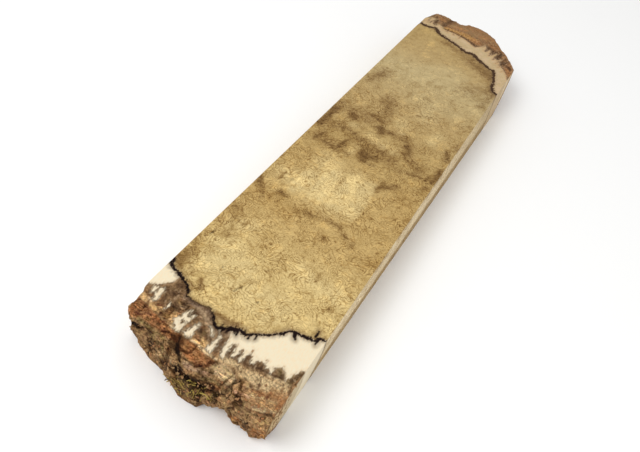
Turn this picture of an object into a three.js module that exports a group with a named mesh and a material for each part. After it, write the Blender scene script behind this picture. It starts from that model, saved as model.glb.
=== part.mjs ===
import * as THREE from 'three';

// A block of black locust burl, sawn right across the log, so that the bark stays on both short ends.
// Millimetres. X is the width, Y the length and Z up, and the block lies on its lower sawn face.
// The near end is the one towards -Y. The two sawn faces are flat, the two long sides are sawn too, and
// only the ends are rough: the whole piece grew as one, so it is one solid.

// The saw cuts
const THICKNESS = 22; // from the lower sawn face to the upper one
const LEFT_TOP = { at: -36.05, flare: -0.0092 }; // x of the left side where y is 0, and its change per mm of y
const LEFT_BOTTOM = { at: -35.75, flare: -0.006 };
const RIGHT_TOP = { at: 34.6, flare: 0.0035 };
const RIGHT_BOTTOM = { at: 35.06, flare: 0.014 };
const SPLINTER = { from: -131, length: 3, inset: 1.1 }; // the left side breaks away where the near bark starts

// The bark's outlines seen from above, left to right, where each end meets the upper and the lower face
const NEAR_TOP = [
  [-37, -140], [-34, -141.5], [-31, -143.4], [-27, -144.3], [-21, -144.8], [-16, -145.2], [-12, -147.4],
  [-8, -149.4], [0, -150.8], [6, -151], [12, -150.2], [18, -149.2], [24, -149.8], [30, -150.4], [37, -149.4],
];
const NEAR_BOTTOM = [
  [-37, -138.2], [-30, -140.6], [-18.7, -145], [-7.5, -149.2], [-2, -150.6], [4.2, -151], [5.9, -148.3],
  [9.3, -146.6], [12.4, -144.4], [15, -143.4], [16.6, -145], [18.4, -146.9], [22.4, -146.8],
  [25, -145.4], [27.4, -149.2], [30.6, -143.4], [37, -128],
];
const FAR_TOP = [
  [-39, 156], [-37.6, 163.2], [-36, 168.8], [-34.2, 176], [-31, 177.8], [-21, 176.3], [-15, 174.8],
  [-10.8, 176], [-9.6, 179.2], [-2, 180.1], [5.5, 178.2], [11.7, 174.2], [20.2, 163.3], [26.1, 157.2],
  [30.5, 150.8], [35.1, 143.4], [39, 137],
];
const FAR_BOTTOM = [
  [-39, 148], [-34, 158], [-24, 164.5], [-10, 166.5], [0, 164.5], [10, 157.5], [20, 145], [30, 128.5],
  [36.6, 116], [39, 111],
];

// The swell of each end between the two faces, at the left side and at the right side.
// The end drops straight from the upper face for the knee's share of the thickness, and then leans.
const NEAR_SWELL = { knee: [0.1, 0.52], belly: [0.7, 1.6] };
const FAR_SWELL = { knee: [0, 0], belly: [2, 4.5] };

// The bark's own relief, in mm
const BARK_THICKNESS = { near: 14, far: 15 };
const PLATE = { width: 8, height: 10, relief: 1.15 };
const SCALE = { width: 3.6, height: 4.4, relief: 0.5 };
const SUNK = { depth: 0.3, relief: 0.55, size: 5.5, rim: 2.6, rimDrop: 0.7 }; // torn bark on the upper face
const TORN = { near: 1, far: 0.5 }; // how much of that each end has

// How finely the bark is faceted
const COLUMNS = 60;
const END_ROWS = 11;
const BARK_ROWS = 13;
const BARK_ROW_PITCH = 1.6;
const CLEAR_BOARD = [-104, 84]; // the y where the plain sawn faces begin and end

const BARK_COLOR = 0x7d5a3c;
const BLOCK_NAME = 'burl_block';

const mix = (a, b, t) => a + (b - a) * t;
const clamp01 = (t) => Math.min(1, Math.max(0, t));
const smooth = (t) => clamp01(t) ** 2 * (3 - 2 * clamp01(t));

// The y of an outline at a given x, on straight runs between its points.
function outlineY(outline, x) {
  const next = Math.min(outline.length - 1, Math.max(1, outline.findIndex(([px]) => px > x)));
  const [[xa, ya], [xb, yb]] = [outline[next - 1], outline[next]];
  return mix(ya, yb, clamp01((x - xa) / (xb - xa)));
}

// A repeatable random number from -1 to 1 for each point of a lattice.
function lattice(i, j, k) {
  let bits = Math.imul(i, 374761393) ^ Math.imul(j, 668265263) ^ Math.imul(k, 1274126177);
  bits = Math.imul(bits ^ (bits >>> 13), 1103515245);
  return ((bits ^ (bits >>> 16)) >>> 0) / 2147483647.5 - 1;
}

// Smooth noise from -1 to 1 between the lattice points.
function noise(x, y, z) {
  const [i, j, k] = [x, y, z].map(Math.floor);
  const [u, v, w] = [x - i, y - j, z - k].map(smooth);
  const edge = (dj, dk) => mix(lattice(i, j + dj, k + dk), lattice(i + 1, j + dj, k + dk), u);
  return mix(mix(edge(0, 0), edge(1, 0), v), mix(edge(0, 1), edge(1, 1), v), w);
}

// The left and the right sawn side at a given y, with depth 0 at the upper face and 1 at the lower.
function sideX(upper, lower, y, depth) {
  return mix(upper.at + upper.flare * y, lower.at + lower.flare * y, depth);
}

function acrossX(share, y, depth) {
  const broken = SPLINTER.inset * smooth((SPLINTER.from - y) / SPLINTER.length) * (1 - depth);
  const left = sideX(LEFT_TOP, LEFT_BOTTOM, y, depth) + broken;
  const right = sideX(RIGHT_TOP, RIGHT_BOTTOM, y, depth);
  return mix(left, right, share);
}

// Where an outline crosses the line that runs along the block at a given share of its width.
function crossingY(outline, share, depth) {
  let y = outline[outline.length >> 1][1];
  for (let turn = 0; turn < 3; turn += 1) {
    y = outlineY(outline, acrossX(share, y, depth));
  }
  return y;
}

// How far the bark stands out of its even surface: broad plates with smaller scales on them.
function barkRelief(x, z) {
  const plates = Math.abs(noise(x / PLATE.width, z / PLATE.height, 3.5));
  const scales = noise(x / SCALE.width, z / SCALE.height, 9.5);
  return PLATE.relief * (1 - 2 * plates) + SCALE.relief * scales;
}

// The near and the far end share one description. outward is -1 towards -Y and 1 towards +Y.
const near = {
  outward: -1, top: NEAR_TOP, bottom: NEAR_BOTTOM, swell: NEAR_SWELL,
  thickness: BARK_THICKNESS.near, torn: TORN.near,
};
const far = {
  outward: 1, top: FAR_TOP, bottom: FAR_BOTTOM, swell: FAR_SWELL,
  thickness: BARK_THICKNESS.far, torn: TORN.far,
};

// A point of the bark on an end's outer face.
function endPoint(end, share, depth) {
  const knee = mix(...end.swell.knee, share);
  const lean = clamp01((depth - knee) / (1 - knee));
  const even = mix(crossingY(end.top, share, 0), crossingY(end.bottom, share, 1), lean);
  const belly = mix(...end.swell.belly, share) * Math.sin(Math.PI * depth);
  const z = THICKNESS * (1 - depth);
  const x = acrossX(share, even, depth);
  const fade = smooth(depth * 6); // the relief dies out where the end meets the upper face
  const y = even + end.outward * (belly + fade * barkRelief(x, z + 40 * end.outward));
  return [x, y, z];
}

// A point of the upper face, a given distance in from an end's edge. The bark there is torn, not sawn.
function topPoint(end, share, inward) {
  const y = crossingY(end.top, share, 0) - end.outward * inward;
  const x = acrossX(share, y, 0);
  const torn = smooth((end.thickness - inward) / 4);
  const lumps = 0.5 + 0.5 * noise(x / SUNK.size, y / SUNK.size, 1.5);
  const rim = SUNK.rimDrop * clamp01(1 - inward / SUNK.rim) ** 2;
  const drop = end.torn * (torn * (SUNK.depth + SUNK.relief * lumps) + rim);
  return [x, y, THICKNESS - drop];
}

// The skin is built of rows that each run across the width, and of flat fillings between them.
const positions = [];
const triangles = [];

function addPoint(point) {
  positions.push(...point);
  return positions.length / 3 - 1;
}

function addRow(pointAt) {
  return Array.from({ length: COLUMNS + 1 }, (_, column) => addPoint(pointAt(column / COLUMNS)));
}

function stitch(row, next) {
  for (let i = 0; i < COLUMNS; i += 1) {
    triangles.push([row[i], row[i + 1], next[i + 1]], [row[i], next[i + 1], next[i]]);
  }
}

function addTriangle(a, b, c, turned) {
  triangles.push(turned ? [a, c, b] : [a, b, c]);
}

function addQuad([a, b, c, d], turned) {
  addTriangle(a, b, c, turned);
  addTriangle(a, c, d, turned);
}

// Flat faces from one point to each step of a chain of points.
function fan(hub, chain, turned) {
  chain.slice(1).forEach((point, i) => addTriangle(hub, chain[i], point, turned));
}

// Flat faces from a row to the two corners of the clear board, half of the row to each.
function spread(row, [left, right], turned) {
  const half = COLUMNS / 2;
  fan(left, row.slice(0, half + 1), turned);
  addTriangle(left, row[half], right, turned);
  fan(right, row.slice(half), turned);
}

const rowCount = (count, pointAt) => Array.from({ length: count }, (_, i) => addRow(pointAt(i)));

// Rows from the near end's foot, up and over the bark, to the sawn wood, and the same at the far end.
const nearRows = [
  ...rowCount(END_ROWS, (i) => (share) => endPoint(near, share, 1 - i / END_ROWS)),
  ...rowCount(BARK_ROWS, (i) => (share) => topPoint(near, share, i * BARK_ROW_PITCH)),
];
const farRows = [
  ...rowCount(BARK_ROWS, (i) => (share) => topPoint(far, share, (BARK_ROWS - 1 - i) * BARK_ROW_PITCH)),
  ...rowCount(END_ROWS, (i) => (share) => endPoint(far, share, (i + 1) / END_ROWS)),
];
for (const rows of [nearRows, farRows]) {
  rows.slice(1).forEach((row, i) => stitch(rows[i], row));
}

// The corners of the clear board: [left, right] at its near end and at its far end.
const boardCorners = (depth) =>
  CLEAR_BOARD.map((y) =>
    [0, 1].map((share) => addPoint([acrossX(share, y, depth), y, THICKNESS * (1 - depth)])));
const upper = boardCorners(0);
const lower = boardCorners(1);

for (const [board, nearRow, farRow, down] of [
  [upper, nearRows.at(-1), farRows[0], false],
  [lower, nearRows[0], farRows.at(-1), true],
]) {
  const [nearPair, farPair] = board;
  spread(nearRow, nearPair, down);
  addQuad([...nearPair, farPair[1], farPair[0]], down);
  spread(farRow, farPair, !down);
}

for (const [side, column] of [[0, 0], [1, COLUMNS]]) {
  const [[nearHigh, farHigh], [nearLow, farLow]] = [upper, lower].map((ends) => ends.map((pair) => pair[side]));
  const turned = side === 1;
  fan(nearLow, [...nearRows.map((row) => row[column]), nearHigh], turned);
  addQuad([nearLow, nearHigh, farHigh, farLow], turned);
  fan(farLow, [farHigh, ...farRows.map((row) => row[column])], turned);
}

const geometry = new THREE.BufferGeometry();
geometry.setAttribute('position', new THREE.Float32BufferAttribute(positions, 3));
geometry.setIndex(triangles.flat());

// The origin is the middle of the block's box, on the lower sawn face.
geometry.computeBoundingBox();
const middle = geometry.boundingBox.getCenter(new THREE.Vector3());
geometry.translate(-middle.x, -middle.y, 0);
geometry.computeVertexNormals();

const block = new THREE.Mesh(
  geometry,
  new THREE.MeshStandardMaterial({ color: BARK_COLOR, roughness: 0.7, metalness: 0 }),
);
block.name = BLOCK_NAME;

const locustBlock = new THREE.Group();
locustBlock.add(block);

export default locustBlock;
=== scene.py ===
"""Dresses the block of black locust burl: sawn wood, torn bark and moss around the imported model.

Lengths are in millimetres of the sawing frame: x across the block, y along it and z up from the lower
sawn face. The near end, with the moss, is towards -y. BurlBlock.build turns the block into Blender's
own metres, in the part's frame. Growth layers are placed where they meet the upper sawn face.
"""
import logging
import math
from dataclasses import dataclass, field
from enum import Enum
from typing import Any, Sequence

import bpy
import numpy as np
from mathutils import Euler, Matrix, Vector


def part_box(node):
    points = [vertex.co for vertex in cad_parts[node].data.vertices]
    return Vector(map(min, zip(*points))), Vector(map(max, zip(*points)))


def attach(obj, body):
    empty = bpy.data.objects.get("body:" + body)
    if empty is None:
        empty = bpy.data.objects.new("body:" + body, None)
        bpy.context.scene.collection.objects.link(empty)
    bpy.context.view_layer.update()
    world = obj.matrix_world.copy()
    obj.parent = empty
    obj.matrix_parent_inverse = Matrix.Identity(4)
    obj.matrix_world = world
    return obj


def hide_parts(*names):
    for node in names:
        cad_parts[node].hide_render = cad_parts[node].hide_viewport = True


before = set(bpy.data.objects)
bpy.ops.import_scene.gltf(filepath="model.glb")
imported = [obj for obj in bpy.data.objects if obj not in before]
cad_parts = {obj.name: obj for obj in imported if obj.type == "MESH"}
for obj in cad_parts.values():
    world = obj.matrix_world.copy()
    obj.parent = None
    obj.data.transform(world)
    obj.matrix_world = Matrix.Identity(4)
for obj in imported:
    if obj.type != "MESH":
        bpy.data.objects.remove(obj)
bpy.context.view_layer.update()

Array = np.ndarray
Point = tuple[float, float]
Strokes = Sequence[tuple[float, ...]]

MM = 0.001
BODY = "root"
BLOCK_NODE = "burl_block"
MIDDLE = (-0.436, 13.455)  # the middle of the block's box, the part's origin, in the sawing frame
OUT_OF_REACH = 99.0  # mm, a distance for places that no stroke comes near
SCALES_FROM = 19  # mm out of the black line, where the bark scales begin
SCALES_FADE = 4
LOWEST_GROWTH = 0.9  # nothing grows deeper than this share of the thickness
BIT_MASK = 0xFFFFFFFF
CELL_FACTORS = (374761393, 668265263, 1274126177)  # these spread a cell's place over 32 bits
STIR_FACTOR = 1103515245
HALF_RANGE = 2147483647.5
log = logging.getLogger("burl")


class Slice(float, Enum):
    """The slice of the noise that each use reads, so that no two uses share their bumps."""

    LUMPS = 1.5
    PLATES = 3.5
    SCALES = 9.5
    CRUMBS = 20.5
    FISSURES = 30.5
    WANDER_X = 40.5
    WANDER_Y = 50.5
    CLUMPS = 60.5
    SIDE_WAVES = 70.5


def mix(a: Array | float, b: Array | float, t: Array | float) -> Array | float:
    """Goes from a to b as t goes from 0 to 1."""
    return a + (b - a) * t


def smooth(t: Array | float) -> Array:
    """Eases from 0 to 1, flat outside that range."""
    held = np.clip(t, 0, 1)
    return held ** 2 * (3 - 2 * held)


def lattice(i: Array, j: Array, k: Array) -> Array:
    """Gives a repeatable random number from -1 to 1 for each point of a lattice.

    Args:
        i, j, k: Whole-number places.

    Returns:
        One number for each place.
    """
    a, b, c = ((place * factor) & BIT_MASK for place, factor in zip((i, j, k), CELL_FACTORS))
    bits = a ^ b ^ c
    bits = ((bits ^ (bits >> 13)) * STIR_FACTOR) & BIT_MASK
    return (bits ^ (bits >> 16)) / HALF_RANGE - 1


def noise(x: Array, y: Array, z: float) -> Array:
    """Gives smooth noise from -1 to 1, the same as shapes the model's own bark.

    Args:
        x, y: Places, in cells of the lattice.
        z: The slice of the lattice.

    Returns:
        One number for each place.
    """
    i, j, k = np.floor(x).astype(np.int64), np.floor(y).astype(np.int64), math.floor(z)
    u, v, w = smooth(x - i), smooth(y - j), float(smooth(z - k))

    def slab(dk: int) -> Array:
        """Blends the four lattice points of one slice."""
        rows = [mix(lattice(i, j + dj, k + dk), lattice(i + 1, j + dj, k + dk), u) for dj in (0, 1)]
        return mix(rows[0], rows[1], v)

    return mix(slab(0), slab(1), w)


class Tone(Enum):
    """The colours of the wood, the bark and the moss, as red, green and blue from 0 to 255."""

    GOLDEN_HEART = (208, 183, 126)
    TAN_HEART = (190, 161, 105)
    BROWN_HEART = (179, 151, 97)
    OLIVE_HEART = (182, 156, 106)
    GREY_HEART = (190, 170, 124)
    PALE_FIGURE = (211, 190, 138)
    AMBER_FIGURE = (182, 146, 84)
    BROWN_FIGURE = (140, 107, 66)
    DARK_FIGURE = (112, 82, 54)
    PURPLE_SPOT = (104, 74, 52)
    SIDE_CREAM = (232, 214, 178)
    SIDE_TAN = (160, 130, 80)
    SIDE_DIM = (188, 164, 120)
    WHITE_CREAM = (234, 222, 193)
    BISCUIT = (188, 166, 127)
    PINK_CREAM = (214, 186, 154)
    OLIVE_CREAM = (190, 172, 122)
    STAIN = (140, 110, 76)
    STAIN_DARK = (90, 65, 44)
    PURPLE_GREY = (154, 130, 108)
    PINK_GREY = (180, 152, 118)
    BLACK_LINE = (24, 9, 6)
    BROWN_LINE = (66, 42, 20)
    GREY_LINE = (96, 68, 44)
    OCHRE = (244, 200, 138)
    PALE_OCHRE = (246, 216, 168)
    GOLD = (188, 142, 82)
    RUST = (156, 98, 58)
    RED_BROWN = (162, 112, 72)
    MAROON = (96, 50, 36)
    KHAKI = (128, 108, 70)
    GREY_CREAM = (208, 182, 140)
    PHLOEM = (198, 158, 110)
    PHLOEM_PINK = (204, 168, 136)
    PHLOEM_PALE = (222, 194, 146)
    UMBER = (70, 46, 30)
    OUTER_BARK = (162, 130, 90)
    BARK_BROWN = (152, 112, 74)
    BARK_ORANGE = (178, 124, 76)
    # painted shade: the dark that stands in for the shade in hollows, cracks and checks
    HOLLOW_SHADE = (24, 15, 11)
    MOSS = (136, 108, 52)
    MOSS_TIP = (186, 162, 84)
    # the moss's brown roots, and painted shade under the moss
    MOSS_ROOT_AND_SHADE = (60, 42, 22)
    FLOOR = (252, 252, 251)

    @property
    def linear(self) -> Array:
        """The colour in Blender's linear values."""
        s = np.array(self.value) / 255
        return np.where(s <= 0.04045, s / 12.92, ((s + 0.055) / 1.055) ** 2.4)

    @property
    def rgba(self) -> tuple[float, ...]:
        """The colour as a node's socket takes it."""
        return (*self.linear.tolist(), 1.0)


def segment_distance(x: Array, y: Array, stroke: Sequence[float]) -> tuple[Array, Array]:
    """Measures how far points lie from a straight line.

    Args:
        x, y: The points.
        stroke: The line's ends, x0, y0, x1 and y1.

    Returns:
        The distance, and the share of the way along the line where it is measured.
    """
    x0, y0, x1, y1 = stroke[:4]
    along_x, along_y = x1 - x0, y1 - y0
    length = max(along_x ** 2 + along_y ** 2, 1e-9)
    t = np.clip(((x - x0) * along_x + (y - y0) * along_y) / length, 0, 1)
    return np.hypot(x - x0 - t * along_x, y - y0 - t * along_y), t


def reach(x: Array, y: Array, strokes: Strokes) -> Array:
    """Measures how deep points lie inside a group of tapered, round-ended strokes.

    Args:
        x, y: The points.
        strokes: Each stroke's ends x0, y0, x1, y1 and its half-widths there.

    Returns:
        The depth inside the nearest stroke, below 0 outside all of them.
    """
    best = np.full(x.shape, -OUT_OF_REACH)
    for stroke in strokes:
        distance, t = segment_distance(x, y, stroke)
        best = np.maximum(best, mix(stroke[4], stroke[5], t) - distance)
    return best


def trail(width: float, *points: Point) -> list[tuple[float, ...]]:
    """Lays strokes of one half-width end to end through the points."""
    return [(*a, *b, width, width) for a, b in zip(points, points[1:])]


@dataclass(frozen=True)
class Trace:
    """A line that runs across the whole block, through points from left to right."""

    points: tuple[Point, ...]

    def above(self, x: Array, y: Array) -> Array:
        """Measures the distance to the line.

        Args:
            x, y: The points to measure.

        Returns:
            The distance, above 0 on the line's +y side and below 0 on the other.
        """
        xs, ys = zip(*self.points)
        side = np.where(y >= np.interp(x, xs, ys), 1.0, -1.0)
        return side * -reach(x, y, trail(0, *self.points))


@dataclass(frozen=True)
class Wash:
    """A soft patch of one colour, laid over what is already there."""

    tone: Tone
    strength: float
    soft: float
    strokes: Strokes

    def over(self, ground: Array, x: Array, y: Array, share: Array | float = 1) -> Array:
        """Lays the wash over a ground colour.

        Args:
            ground: The colour so far, one row for each point.
            x, y: The points.
            share: How much of the wash each point takes.

        Returns:
            The new colour of each point.
        """
        cover = self.strength * smooth(reach(x, y, self.strokes) / self.soft + 0.5) * share
        return mix(ground, self.tone.linear, cover[:, None])


@dataclass(frozen=True)
class Carving:
    """How strokes are cut into the bark.

    Args:
        deepest: How deep the cut is in the middle of a wide stroke.
        soft: The width of the slope at a stroke's edge.
        start: The share of the depth, before easing, right on the edge.
    """

    deepest: float
    soft: float
    start: float

    def depth_at(self, spots: dict[str, Array], strokes: Strokes) -> Array:
        """Measures how deep the strokes are cut at each point's growth layer."""
        return self.deepest * smooth(reach(spots["u"], spots["v"], strokes) / self.soft + self.start)


@dataclass(frozen=True)
class SawnSide:
    """A long sawn side: its x where y is 0 and the change per mm of y, at the top and the bottom."""

    top: tuple[float, float]
    bottom: tuple[float, float]

    def x(self, y: Array, depth: Array) -> Array:
        """Places the side, with depth 0 on the upper face and 1 on the lower."""
        return mix(self.top[0] + self.top[1] * y, self.bottom[0] + self.bottom[1] * y, depth)


@dataclass(frozen=True)
class BarkEnd:
    """One short end: its outlines on both sawn faces, and its swell and relief between them.

    Args:
        outward: -1 for the end towards -y and 1 for the other.
        top, bottom: The outlines, from left to right.
        knee: The share of the thickness that drops straight, at the left and at the right.
        belly: How far the bark swells between the faces, at the left and at the right.
        thickness: The bark's thickness, measured along the upper face.
        torn: How much of the torn relief the upper face has here.
        lean: How much of the outer face's lean the growth layers inside follow, at the left and the right.
        line: The black line round the heartwood.
        line_width: The black line's half-width, as points of x and width.
        limit: The outer limit of the sapwood, which bounds the cream colour.
        tongues: Cream tongues that reach past the limit.
        teeth: Brown teeth that reach into the cream.
        washes: The colours of the bark and of the stains in the sapwood.
        spurs: Short spurs of the black line.
        cracks: The cracks, which are carved and filled with painted shade.
        hollows: Deeper holes in the bark.
    """

    outward: int
    top: tuple[Point, ...]
    bottom: tuple[Point, ...]
    knee: Point
    belly: Point
    thickness: float
    torn: float
    lean: Point
    line: Trace
    line_width: tuple[Point, ...]
    limit: Trace
    tongues: Strokes
    teeth: Strokes
    washes: tuple[Wash, ...]
    spurs: Strokes
    cracks: Strokes
    hollows: Strokes

    def inside(self, trace: Trace, x: Array, y: Array) -> Array:
        """Measures the distance to a trace, above 0 on the heartwood's side of it."""
        return trace.above(x, y) * -self.outward

    def cream(self, x: Array, y: Array) -> Array:
        """Measures how deep points lie in the cream sapwood, in mm, below 0 outside it."""
        band = np.minimum(self.inside(self.limit, x, y), -self.inside(self.line, x, y))
        return np.minimum(np.maximum(band, reach(x, y, self.tongues)), -reach(x, y, self.teeth))


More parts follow.
